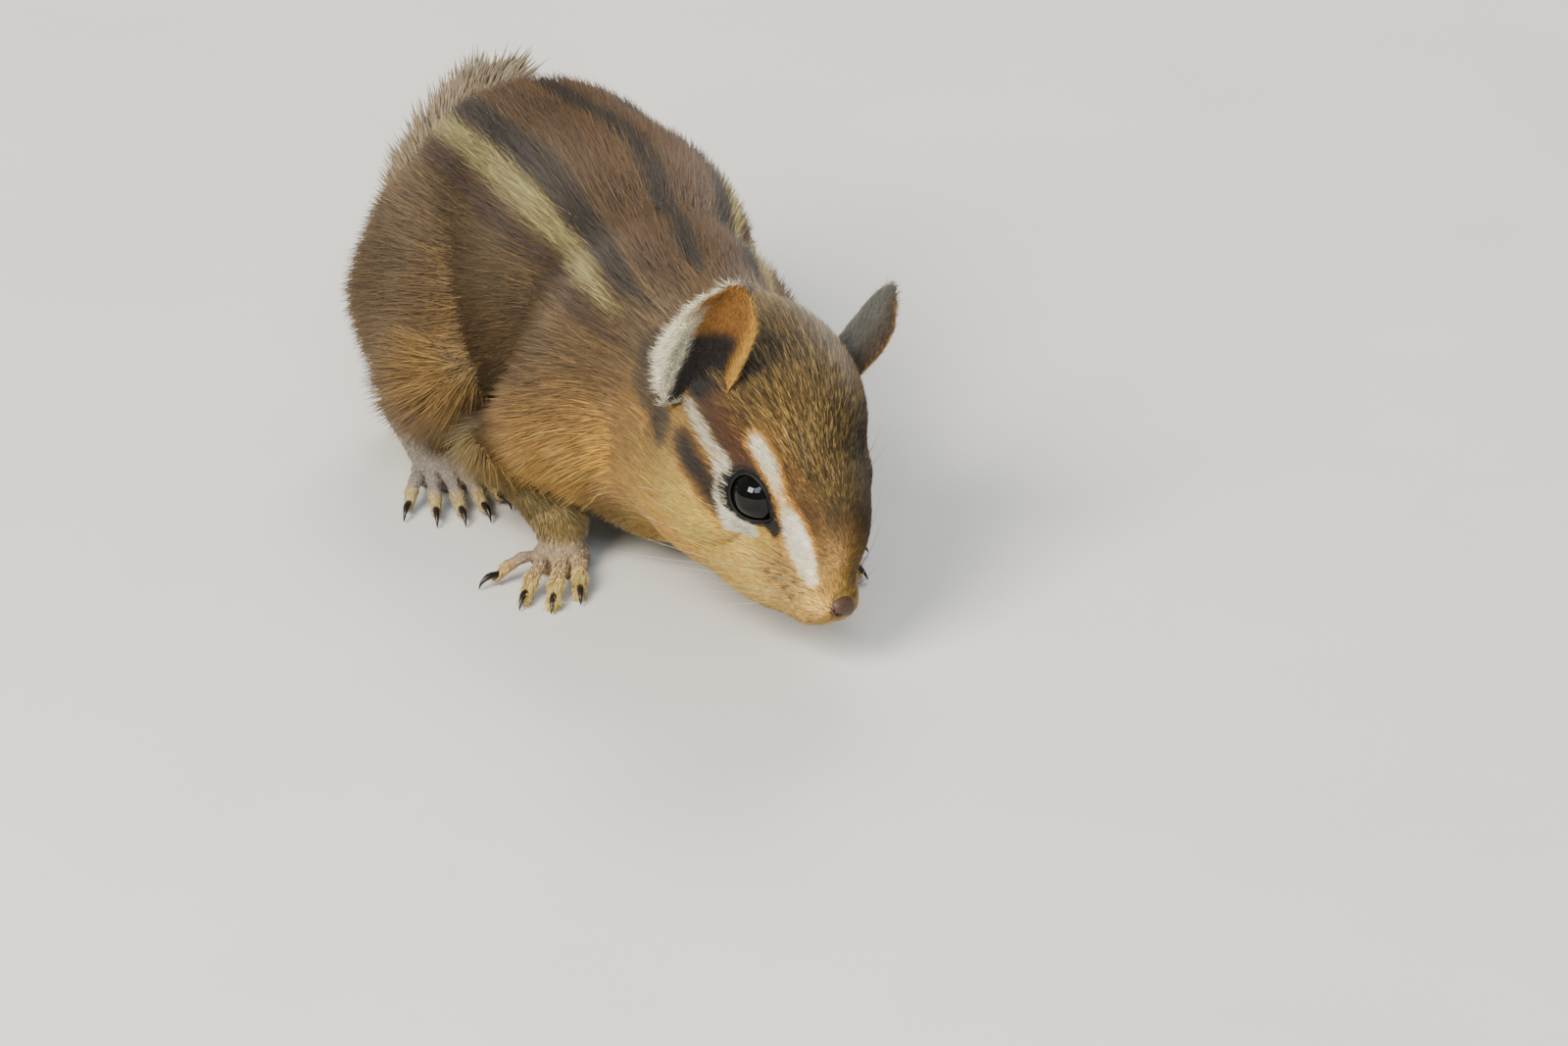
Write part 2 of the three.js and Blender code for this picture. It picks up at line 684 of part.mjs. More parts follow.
const clearOfHead = net(bodyField, ...headBox, CELL.head, GAP);
const neckNet = net(bodyField, ...around(onHead(0, 18, -4), V(22, 20, 24)), CELL.neck);
const neck = neckNet.intersect(napeCut.behind).intersect(shoulderCut.ahead);
for (const side of [-1, 1]) {
  const { x, y, z } = EAR_PIT.place;
  const pit = (grow) => headBall(V(side * x, y, z), EAR_PIT.radii, grow, 12);
  head = head.subtract(pit(0));
  ears[side] = ear(side).subtract(clearOfHead.subtract(pit(-GAP)));
}

// Legs leave the torso by rounded cuts, and the feet meet them on level cuts
const sideName = { [-1]: "right", 1: "left" };
const FORE_ANKLE = 4.6;
const HIND_ANKLE = 5.0;
const above = (z) => halfSpace(V(0, 0, z), V(0, 0, 1));
const below = (z) => halfSpace(V(0, 0, z), V(0, 0, -1));
let torso = onFloor(net(bodyField, V(-30, -46, 0), V(30, 62, 56), CELL.torso))
  .intersect(shoulderCut.behind)
  .intersect(above(HIND_ANKLE + GAP));
const limbs = [];
for (const side of [-1, 1]) {
  const name = sideName[side];
  const place = (x, y, z) => V(side * x, y, z);
  const fore = legs[`foreleg_${name}`].joints;
  const hind = legs[`hindleg_${name}`].joints;
  const foreMiddle = fore[1].clone().lerp(fore[2], 0.42);
  const foreRegion = (grow) =>
    ball(foreMiddle.clone().add(place(2.2, 0, -0.6)), 8.2 + grow, 11.5 + grow, 9.2 + grow);
  const hindRegion = (grow) =>
    ball(place(19.5, hind[1].y + 10.5, 13.5), 10.5 + grow, 20 + grow, 15.5 + grow, undefined, 24);
  const foreNet = net(bodyField, ...around(foreMiddle, V(15, 17, 16)), CELL.foreleg);
  const hindBox = around(place(16, hind[1].y + 10, 16), V(18, 27, 22));
  const hindNet = net(bodyField, ...hindBox, CELL.hindleg);
  torso = torso.subtract(foreRegion(GAP)).subtract(hindRegion(GAP));
  const foreWhole = foreNet.intersect(foreRegion(0)).intersect(shoulderCut.behind);
  limbs.push([`foreleg_${name}`, foreWhole.intersect(above(FORE_ANKLE + GAP))]);
  limbs.push([
    `hindleg_${name}`,
    hindNet.intersect(hindRegion(0)).subtract(foreRegion(GAP)).intersect(above(HIND_ANKLE + GAP)),
  ]);

  const wrist = fore[2];
  const palm = wrist.clone().add(place(0.4, -1.6, 0)).setZ(1.9);
  const wristLine = [
    wrist.clone().setZ(7),
    wrist.clone().setZ(3.6),
    palm.clone().add(V(0, -1.2, 0.2)),
  ];
  const forepaw = union([
    tube(wristLine, [2.9, 3.0, 2.9], { sides: 10, steps: 4, wide: 1.05 }),
    ball(palm, 4.1, 3.6, 2.5, undefined, 12),
    ...digitsOf(FORE_FOOT, palm, radians(side * 29), -side),
  ]);
  limbs.push([`forepaw_${name}`, forepaw.intersect(below(FORE_ANKLE))]);

  const heel = hind[2];
  const ballOfFoot = place(18.6, heel.y - 16.5, 2.1);
  const soleLine = [
    heel.clone().setZ(7.5),
    heel.clone().add(V(0, 0.6, 0)).setZ(3.4),
    heel.clone().lerp(ballOfFoot, 0.45).setZ(2.7),
    ballOfFoot,
  ];
  const hindfoot = union([
    tube(soleLine, [3.3, 3.1, 2.9, 3.1], { sides: 10, steps: 6, wide: 1.08 }),
    ball(ballOfFoot, 4.3, 4.2, 2.6, undefined, 12),
    ...digitsOf(HIND_FOOT, ballOfFoot, radians(side * 7), -side),
  ]);
  limbs.push([`hindfoot_${name}`, hindfoot.intersect(below(HIND_ANKLE))]);
}

// Tail, parted twice along the lie of its locks. Shares are of the length of its path.
const TAIL_START = 0.1;
const TAIL_LENGTHS = { tail_root: [0.04, 0.4], tail_middle: [0.4, 0.7], tail_tip: [0.7, 0.97] };
const LOCK_ROUNDS = 3; // in each length
const LOCKS = 5; // in each round
const partings = [TAIL_LENGTHS.tail_middle[0], TAIL_LENGTHS.tail_tip[0]];
const locked = ([from, to]) => tailLength(from, to, LOCK_ROUNDS, LOCKS);
const start = tailFrame(TAIL_START);
const rump = cut({ point: start.middle, way: start.along });
const inside = partings.map((t) => funnel(t, tailCore(t) * 0.9));
const outside = partings.map((t) =>
  funnel(t - GAP / tailPath.getLength(), tailCore(t) * 0.9 + GAP),
);
const rumpBody = net(bodyField, V(-16, 34, 0), V(16, 66, 34), CELL.rump, GAP);
const tail = {
  tail_root: locked(TAIL_LENGTHS.tail_root)
    .subtract(rumpBody.intersect(rump.ahead))
    .intersect(rump.behind)
    .subtract(outside[0]),
  tail_middle: locked(TAIL_LENGTHS.tail_middle).intersect(inside[0]).subtract(outside[1]),
  tail_tip: locked(TAIL_LENGTHS.tail_tip).intersect(inside[1]),
};
torso = torso.intersect(rump.ahead);

add("head", head, OLIVE);
add("nose", nose, "#b98d76", 0.5);
for (const side of [-1, 1]) {
  add(`ear_${sideName[side]}`, ears[side], "#a8682c");
  add(`eye_${sideName[side]}`, eyes[side], "#0a0908", 0.05);
}
add("neck", neck, TAWNY);
add("torso", torso, TAWNY);
for (const [name, made] of limbs)
  add(name, onFloor(made), /paw|foot/.test(name) ? PAW : TAWNY);
for (const [name, made] of Object.entries(tail))
  add(name, onFloor(made), "#7a5a38", 0.9, LOCK_FINENESS);

// The origin is under the middle of the whole box
const whole = new THREE.Box3().setFromObject(group);
group.position.set(-(whole.min.x + whole.max.x) / 2, -(whole.min.y + whole.max.y) / 2, 0);

export default group;
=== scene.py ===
"""A western chipmunk as a still, life-size museum model, dressed over its fixed CAD frame.

The flesh is one skin drawn from a distance field of named forms. The coat is solid tufts set on
that skin along the lie of the fur, and both take their markings from one function. Lengths in
the field are millimetres in the part's own frame: +X its left, -Y forward, +Z up.
"""
import math

import bpy
import numpy as np
from bpy.props import FloatProperty, FloatVectorProperty, IntProperty, PointerProperty
from mathutils import Matrix, Vector


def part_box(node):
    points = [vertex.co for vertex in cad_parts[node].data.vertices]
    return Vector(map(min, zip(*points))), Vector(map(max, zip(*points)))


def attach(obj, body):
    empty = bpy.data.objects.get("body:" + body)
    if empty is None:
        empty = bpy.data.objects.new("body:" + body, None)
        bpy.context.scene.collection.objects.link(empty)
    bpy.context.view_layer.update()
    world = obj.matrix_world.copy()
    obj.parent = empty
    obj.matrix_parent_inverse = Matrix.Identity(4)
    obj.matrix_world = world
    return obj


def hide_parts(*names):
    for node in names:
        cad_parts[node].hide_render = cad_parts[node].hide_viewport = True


bl_info = {
    "name": "Chipmunk",
    "version": (1, 0, 0),
    "blender": (4, 5, 0),
    "location": "View3D > Sidebar > Chipmunk",
    "description": "A life-size chipmunk with skin, coat, eyes, whiskers and claws",
    "category": "Object",
}

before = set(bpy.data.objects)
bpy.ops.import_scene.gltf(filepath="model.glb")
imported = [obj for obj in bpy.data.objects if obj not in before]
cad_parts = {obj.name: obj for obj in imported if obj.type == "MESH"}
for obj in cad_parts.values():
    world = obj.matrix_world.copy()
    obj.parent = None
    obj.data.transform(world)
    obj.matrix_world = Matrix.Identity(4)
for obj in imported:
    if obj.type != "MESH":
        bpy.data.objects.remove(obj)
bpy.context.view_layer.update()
MM = 0.001

# The pose, as in the solids
EYES_AT = np.array([7.8, -49.5, 23.1])
HEAD_YAW, HEAD_PITCH, HEAD_ROLL = 14.0, 35.2, 12.8
EYE_PLACE = np.array([6.5, -0.6, -1.6])
EYE_AXIS = np.array([0.94, -0.28, 0.18])
EYE_RADIUS = 3.5
NOSE_PLACE = np.array([0.0, -15.6, -5.2])
SIDES = (-1, 1)
HEAD_BACK = -22  # nothing of the head is behind this


def turn(axis, degrees):
    return np.array(Matrix.Rotation(math.radians(degrees), 3, axis))


HEAD_TURN = turn("Z", HEAD_YAW) @ turn("X", HEAD_PITCH) @ turn("Y", HEAD_ROLL)


def on_head(*place):
    return HEAD_TURN @ np.array(place, float) + EYES_AT


def to_head(points):
    return (points - EYES_AT) @ HEAD_TURN


def mirrored(place, side):
    return np.array([side * place[0], place[1], place[2]], float)


def folded(points, side):
    """Points of the head, all brought to one side of it."""
    return np.column_stack([side * np.abs(points[:, 0]), points[:, 1:]])


def gap(points, place):
    """Distance of each point from a place."""
    return np.linalg.norm(points - place, axis=1)


def unit(rows):
    return rows / np.maximum(np.linalg.norm(rows, axis=1), 1e-6)[:, None]


def eye_centre(side):
    return on_head(*mirrored(EYE_PLACE, side))


def box_middle(node):
    low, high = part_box(node)
    return (np.array(low) + np.array(high)) / 2 / MM


# The solids are centred over the origin, so the eye's own node gives how far they were moved
SHIFT = box_middle("eye_left") - eye_centre(1)


def srgb(code):
    """A hex colour as linear RGB."""
    values = [int(code[i : i + 2], 16) / 255 for i in (1, 3, 5)]
    return tuple(v / 12.92 if v <= 0.04045 else ((v + 0.055) / 1.055) ** 2.4 for v in values)


def length_setting(name, default, description):
    return FloatProperty(
        name=name, description=description, default=default * MM, unit="LENGTH", precision=5
    )


def colour_setting(name, code, description):
    return FloatVectorProperty(
        name=name, description=description, default=srgb(code), subtype="COLOR", size=3
    )


class ChipmunkSizes(bpy.types.PropertyGroup):
    skin_step: length_setting("Skin step", 0.62, "Width of one face of the skin")
    coat_body: length_setting("Body coat", 6.0, "Length of the coat on the back and flanks")
    coat_face: length_setting("Face coat", 1.8, "Length of the coat between eyes and nose")
    coat_paw: length_setting("Paw coat", 1.3, "Length of the coat on the feet")
    coat_tail: length_setting("Tail hair", 12.5, "Length of the longest hair to the tail's sides")
    whisker: length_setting("Whisker", 19.0, "Length of the longest whiskers")
    tufts: IntProperty(name="Tufts", description="How many tufts the coat has", default=138000)
    seed: IntProperty(name="Seed", description="Seed of every random draw", default=7)


class ChipmunkColours(bpy.types.PropertyGroup):
    tawny: colour_setting("Tawny", "#7f6236", "Flanks and shoulders")
    ochre: colour_setting("Ochre", "#cc9740", "Low shoulder and side of the neck")
    olive: colour_setting("Olive", "#6b5831", "Nape and rump")
    crown: colour_setting("Crown", "#46361d", "Top of the head")
    tick: colour_setting("Ticks", "#b3914c", "Pale tips among the hair of the crown")
    rusty: colour_setting("Rusty", "#634524", "Inner stripes of the back")
    dark: colour_setting("Dark", "#2b1f13", "Dark stripes")
    pale: colour_setting("Pale stripe", "#bfae6c", "Outer pale stripes of the back")
    white: colour_setting("White", "#f5e8c6", "Stripes over and under the eye")
    orange: colour_setting("Orange", "#b9802f", "Edge of the stripe over the eye")
    chestnut: colour_setting("Chestnut", "#4a2d16", "Between the eye and the ear")
    buff: colour_setting("Buff", "#c29a5c", "Sides of the muzzle")
    cheek: colour_setting("Cheek", "#e0ae50", "Cheek and throat")
    belly: colour_setting("Belly", "#cfc09a", "Underside")
    forearm: colour_setting("Forearm", "#8a7a52", "Fore and hind legs, low down")
    paw: colour_setting("Paw", "#a0948a", "Backs of the feet")
    digit: colour_setting("Digit", "#cdb47c", "Ends of the digits")
    slate: colour_setting("Slate", "#2e2b26", "Behind the ear, and the roots of the hair")
    ear: colour_setting("Ear", "#8a5c22", "Inside and front rim of the ear")
    ear_back: colour_setting("Ear back", "#68655c", "Back of the ear")
    tail_dark: colour_setting("Tail dark", "#33261a", "Dark band of the tail's hair")
    tail_rusty: colour_setting("Tail rusty", "#8f6a38", "Middle of the tail")
    tail_tip: colour_setting("Tail tips", "#d6bf94", "Tips of the tail's hair")
    claw: colour_setting("Claw", "#1f1a17", "Claws")
    # Painted shade: a near-black laid in the ear's pit, the low middle of its cup and the notch below
    # it
    canal_shade: colour_setting("Ear canal", "#1c1510", "Bottom of the ear's cup")
    rim: colour_setting("Ear rim", "#c08f3c", "Front rim of the ear")
    lip: colour_setting("Lip", "#b58e72", "Thin hair in front of and under the nose")
    nose: colour_setting("Nose", "#4a3428", "Bare skin of the nose")
    # The lid colour is also painted along the mouth's slit as shade
    lid: colour_setting("Lid", "#0b0908", "Bare rim of the eyelids")
    eye: colour_setting("Eye", "#060504", "Eyeball")
    floor: colour_setting("Floor", "#dcd9d3", "Floor")


def sizes():
    return bpy.context.scene.chipmunk_sizes


def colour(name):
    return np.array(getattr(bpy.context.scene.chipmunk_colours, name))


# Distance field. Each form gives distances of an (n, 3) array of points, negative inside.


def ellipsoid(x, y, z, rx, ry, rz, pitch=0.0):
    c, s = math.cos(math.radians(pitch)), math.sin(math.radians(pitch))

    def distance(points):
        dy, dz = points[:, 1] - y, points[:, 2] - z
        u, v, w = (points[:, 0] - x) / rx, (dy * c + dz * s) / ry, (dz * c - dy * s) / rz
        near = np.sqrt(u * u + v * v + w * w)
        slope = np.sqrt((u / rx) ** 2 + (v / ry) ** 2 + (w / rz) ** 2)
        return near * (near - 1) / np.maximum(slope, 1e-6)

    return distance


def cone(a, b, ra, rb):
    a, b = np.array(a, float), np.array(b, float)
    along = b - a

    def distance(points):
        away = points - a
        share = np.clip(away @ along / (along @ along), 0, 1)
        return np.linalg.norm(away - share[:, None] * along, axis=1) - (ra + (rb - ra) * share)

    return distance


def chain(joints, radii):
    return [cone(*joints[i : i + 2], *radii[i : i + 2]) for i in range(len(joints) - 1)]


def blend(forms, softness):
    def distance(points):
        total = np.zeros(len(points))
        for form in forms:
            total += np.exp(np.minimum(-form(points) / softness, 80))
        return -softness * np.log(np.maximum(total, 1e-30))

    return distance


HEAD_FORMS = [
    ellipsoid(0, 9.8, 2.0, 11.2, 13.2, 10.6),  # cranium
    ellipsoid(0, -1.5, -0.5, 7.3, 11.5, 7.4, 14),  # brow and bridge
    cone((0, -4.0, -4.2), (0, -14.0, -5.9), 6.2, 2.3),  # muzzle
    ellipsoid(0, 0.5, -11.2, 7.2, 12.0, 7.4, -6),  # lower jaw
    ellipsoid(0, 10.0, -14.2, 9.4, 13.0, 8.2),  # throat
    ellipsoid(0, -9.6, -10.4, 2.8, 5.2, 2.5, -8),  # chin
]
for _side in SIDES:
    HEAD_FORMS += [
        ellipsoid(_side * 6.6, 6.0, -6.4, 5.8, 9.0, 7.8),  # cheek
        ellipsoid(_side * 2.0, -11.8, -6.7, 2.3, 4.2, 2.7),  # whisker pad
        ellipsoid(_side * 5.6, 0.8, 2.6, 2.3, 4.6, 2.0),  # brow ridge
        ellipsoid(*mirrored(EYE_PLACE, _side), *[EYE_RADIUS + 0.6] * 3),  # lids
    ]
TORSO_FORMS = [
    cone(on_head(0, 15, -1.5), (2, -20, 27), 10.6, 14.5),  # neck
    cone(on_head(0, 10, -10.5), (1, -20, 14.5), 9.2, 10.8),  # front of the neck
    ellipsoid(2, -13, 24, 15.5, 17, 18),  # chest
    ellipsoid(2, 7, 28, 18.5, 24, 18.5),  # back
    ellipsoid(1.5, 9, 19.5, 17.5, 23, 13),  # belly
    ellipsoid(1, 25, 27, 18, 20, 17.5),  # loin
    cone((0.5, 34, 22), (0, 50, 12), 12, 5.2),  # rump
]
for _side in SIDES:
    TORSO_FORMS += [
        ellipsoid(_side * 9.5 + 1.5, -17, 22, 8, 11, 12),  # shoulder
        ellipsoid(_side * 14.5, 22, 19.8, 8.5, 17, 13.6, 20),  # haunch
    ]
FORE_JOINTS, FORE_RADII = [(12, -17, 20), (15.8, -6.5, 12.5), (12.5, -17.2, 5.4)], [7.2, 4.9, 2.9]
HIND_JOINTS, HIND_RADII = [(14, 24, 19), (18.5, 9.5, 14.5), (17.5, 26.5, 6.6)], [10.5, 6.8, 3.4]
FORE_SHIFT, HIND_SHIFT = -6.0, 4.0  # of the left feet, along Y


def leg_joints(joints, side, shift):
    made = [mirrored(joint, side) for joint in joints]
    if side > 0:
        for i, joint in enumerate(made):
            joint[1] += shift * i / (len(made) - 1)
    return made


FORE = {side: leg_joints(FORE_JOINTS, side, FORE_SHIFT) for side in SIDES}
HIND = {side: leg_joints(HIND_JOINTS, side, HIND_SHIFT) for side in SIDES}
head_field = blend(HEAD_FORMS, 1.0)
torso_field = blend(TORSO_FORMS, 2.0)
body_field = blend(
    [
        lambda points: head_field(to_head(points)),
        torso_field,
        *[blend(chain(FORE[side], FORE_RADII), 1.0) for side in SIDES],
        *[blend(chain(HIND[side], HIND_RADII), 1.0) for side in SIDES],
    ],
    1.6,
)

# Feet. A digit is how far across it starts, its turn in degrees, its length and its radius.

FORE_FOOT = {
    "digits": [(-3.0, -46, 5.6, 0.85), (-1.4, -8, 8.4, 0.9), (0.7, 2, 8.6, 0.9), (2.5, 12, 5.8, 0.82)],
    "root": 1.8,
    "knuckle": 2.9,
    "claw": 2.6,
}
HIND_FOOT = {
    "digits": [
        (-3.4, -24, 6.2, 1.0),
        (-1.8, -8, 8.2, 1.05),
        (0.0, 1, 8.6, 1.05),
        (1.8, 9, 8.2, 1.05),
        (3.3, 24, 5.8, 0.95),
    ],
    "root": 2.2,
    "knuckle": 3.0,
    "claw": 2.6,
}
DIGIT_SKIN = 0.84  # a digit without its coat


def foot_places():
    """Each foot as (spec, middle of the palm, heading, side, ankle joint)."""
    for side in SIDES:
        wrist = FORE[side][2]
        palm = np.array([wrist[0] + side * 0.4, wrist[1] - 1.6, 1.9])
        yield FORE_FOOT, palm, math.radians(side * 29), -side, wrist
        heel = HIND[side][2]
        ball = np.array([side * 18.6, heel[1] - 16.5, 2.1])
        yield HIND_FOOT, ball, math.radians(side * 7), -side, heel


def digit_places(foot, middle, heading, side):
    """For each digit, its joints and radii, and its claw's points."""
    c, s = math.cos(heading), math.sin(heading)
    for across, angle, length, radius in foot["digits"]:
        t = math.radians(angle)

        def point(share, z):
            a = (across + math.sin(t) * length * share) * side
            ahead = foot["root"] + math.cos(t) * length * share
            return np.array([middle[0] + a * c + ahead * s, middle[1] + a * s - ahead * c, z])

        knuckle = foot["knuckle"]
        joints = [point(-0.35, 2.4), point(0.3, knuckle), point(0.72, knuckle - 0.6), point(1, 1.15)]
        radii = [radius * DIGIT_SKIN * k for k in (1.0, 0.86, 0.9, 0.78)]
        tip = 1 + foot["claw"] / length
        claw = [
            point(0.95, 1.25),
            point(mix(1, tip, 0.45), 1.5),
            point(tip - 0.06, 0.95),
            point(tip, 0.3),
        ]
        yield joints, radii, claw


def foot_forms(foot, middle, heading, side, ankle):
    forms = []
    for joints, radii, _ in digit_places(foot, middle, heading, side):
        forms += chain(joints, radii)
    if foot is FORE_FOOT:
        forms += [ellipsoid(*middle, 3.7, 3.3, 2.2), cone(ankle, middle + (0, -1, 0.4), 2.6, 2.5)]
    else:
        low_heel = np.array([ankle[0], ankle[1] + 0.6, 3.3])
        forms += [ellipsoid(*middle, 3.9, 4.0, 2.3), cone(low_heel, middle, 2.8, 2.8)]
        forms += [cone(ankle, low_heel, 3.0, 2.8)]
    return forms


# Tail

TAIL_PATH = np.array(
    [(0, 46, 12), (0.5, 54, 8), (3, 69, 5.6), (9, 88, 5.0), (17, 104, 5.0), (24, 116, 5.0)], float
)
TAIL_CORE = ([0, 0.12, 0.4, 1], [5.0, 3.8, 2.9, 1.2])  # radius along the tail


def smooth_path(points, count):
    """A centripetal Catmull-Rom curve through points, at `count` even places."""
    p = np.vstack([2 * points[0] - points[1], points, 2 * points[-1] - points[-2]])
    made = []
    for i in range(1, len(p) - 2):
        knots = [0.0]
        for k in range(3):
            knots.append(knots[-1] + math.sqrt(np.linalg.norm(p[i + k] - p[i + k - 1])))
        t = np.linspace(knots[1], knots[2], 40, endpoint=i == len(p) - 3)[:, None]

        def between(a, b, ta, tb):
            return (tb - t) / (tb - ta) * a + (t - ta) / (tb - ta) * b

        a = [between(p[i + k - 1], p[i + k], knots[k], knots[k + 1]) for k in range(3)]
        b = [between(a[k], a[k + 1], knots[k], knots[k + 2]) for k in range(2)]
        made.append(between(b[0], b[1], knots[1], knots[2]))
    line = np.vstack(made)
    run = np.concatenate([[0], np.cumsum(np.linalg.norm(np.diff(line, axis=0), axis=1))])
    even = np.linspace(0, run[-1], count)
    return np.stack([np.interp(even, run, line[:, k]) for k in range(3)], 1)


TAIL_LINE = smooth_path(TAIL_PATH, 60)


def tail_place(points):
    """How far along the tail each point is (0 to 1), the tail's direction there and the offset."""
    gaps = np.linalg.norm(points[:, None, :] - TAIL_LINE[None, ::2, :], axis=2)
    nearest = gaps.argmin(1) * 2
    way = unit(np.gradient(TAIL_LINE, axis=0))
    return nearest / (len(TAIL_LINE) - 1), way[nearest], points - TAIL_LINE[nearest]


def smoothstep(low, high, value):
    t = np.clip((value - low) / (high - low), 0, 1)
    return t * t * (3 - 2 * t)


def mix(a, b, t):
    return a + (b - a) * t


def coat_depth(points):
    """How far the skin lies inside the outline: least on the face and the feet."""
    back = to_head(points)[:, 1]
    face = mix(0.35, 2.1, smoothstep(-12, 24, back))
    low = mix(0.25, 2.1, smoothstep(3.0, 13.0, points[:, 2]))
    return np.minimum(face, np.where(points[:, 1] > -30, low, 9.0))


EAR_PIT = ellipsoid(11.8, 13.5, 4.6, 2.6, 3.4, 3.7)
MOUTH_HALF, MOUTH_DEPTH, MOUTH_CORNER = 0.22, 1.3, -7.4  # in mm, the corner along the head
MOUTH_LINE = [(-17.5, -7.7), (-14.5, -8.2), (-11.0, -8.0), (-7.4, -8.6)]


def mouth_height(back):
    line = np.array(MOUTH_LINE)
    return np.interp(back, line[:, 0], line[:, 1])


LID_ANGLE = (57, 44)  # half-width of the opening along and across its long axis, in degrees
LID_CORNER = (0.0, 0.34)  # how far the back and front corners are drawn out
LID_LONG = np.array([0.05, 1.0, 0.12])  # towards the back corner
LID_EDGE = 4.1  # the coat starts this far from the eyeball's middle


def eye_axes(side):
    """Where the eye looks, the way to its back corner and the way across."""
    axis = HEAD_TURN @ (mirrored(EYE_AXIS, side) / np.linalg.norm(EYE_AXIS))
    long_axis = HEAD_TURN @ mirrored(LID_LONG, side)
    long_axis -= axis * (long_axis @ axis)
    long_axis /= np.linalg.norm(long_axis)
    return axis, long_axis, np.cross(axis, long_axis)


def lid_line(angle):
    """The opening's edge as angles from the eye's axis: to the back corner, and across."""
    corner = np.where(np.cos(angle) > 0, *LID_CORNER)
    a = np.radians(LID_ANGLE[0]) * np.cos(angle) * (1 + corner * np.abs(np.cos(angle)) ** 8)
    return a, np.radians(LID_ANGLE[1]) * np.sin(angle)


def lid_gap(points, side):
    """About how far outside the opening of the lids each point is, in millimetres."""
    away = points - eye_centre(side)
    w, u, v = [away @ axis for axis in eye_axes(side)]
    spread = np.maximum(np.hypot(u, v), 1e-6)
    off = np.arctan2(spread, w)
    turned = np.arctan2(v / spread / LID_ANGLE[1], u / spread / LID_ANGLE[0])
    return (off - np.hypot(*lid_line(turned))) * EYE_RADIUS


def skin_field(points):
    flesh = body_field(points)
    inset = flesh + coat_depth(points)
    low = points[:, 2] < 9
    for foot, middle, heading, side, ankle in foot_places():
        near = low & (np.abs(points[:, 0] - middle[0]) < 11) & (np.abs(points[:, 1] - middle[1]) < 24)
        if near.any():
            forms = blend(foot_forms(foot, middle, heading, side, ankle), 0.22)
            some = points[near]
            inset[near] = -0.5 * np.log(
                np.exp(-inset[near] / 0.5) + np.exp(np.minimum(-forms(some) / 0.5, 80))
            )
    behind = points[:, 1] > 42
    line = TAIL_LINE[::3]
    core = chain(line, np.interp(np.linspace(0, 1, len(line)), *TAIL_CORE))
    inset[behind] = np.minimum(inset[behind], np.min([form(points[behind]) for form in core], axis=0))
    local = to_head(points)
    for side in SIDES:
        away = gap(points, eye_centre(side))
        near = away < 9
        lids = away[near] - (EYE_RADIUS + 0.4)
        inset[near] = np.minimum(inset[near], lids)
        inset[near] = np.maximum(inset[near], -lid_gap(points[near], side))
    inset = np.maximum(inset, -EAR_PIT(folded(local, 1)))
    mouth = np.abs(local[:, 2] - mouth_height(local[:, 1])) - MOUTH_HALF
    mouth = np.maximum(mouth, local[:, 1] - MOUTH_CORNER)
    mouth = np.maximum(mouth, -(flesh + MOUTH_DEPTH))
    return np.maximum(inset, -mouth)


def in_chunks(field, points, size=400000):
    return np.concatenate([field(points[i : i + size]) for i in range(0, len(points), size)])


def slope_of(field, points, step=0.05):
    slope = np.empty_like(points)
    for k in range(3):
        offset = np.zeros(3)
        offset[k] = step
        ahead, behind = in_chunks(field, points + offset), in_chunks(field, points - offset)
        slope[:, k] = (ahead - behind) / (2 * step)
    return slope


SETTLE_ROUNDS, SETTLE_STEP, LEAST_SLOPE = 3, 0.4, 0.15  # the step is in cells


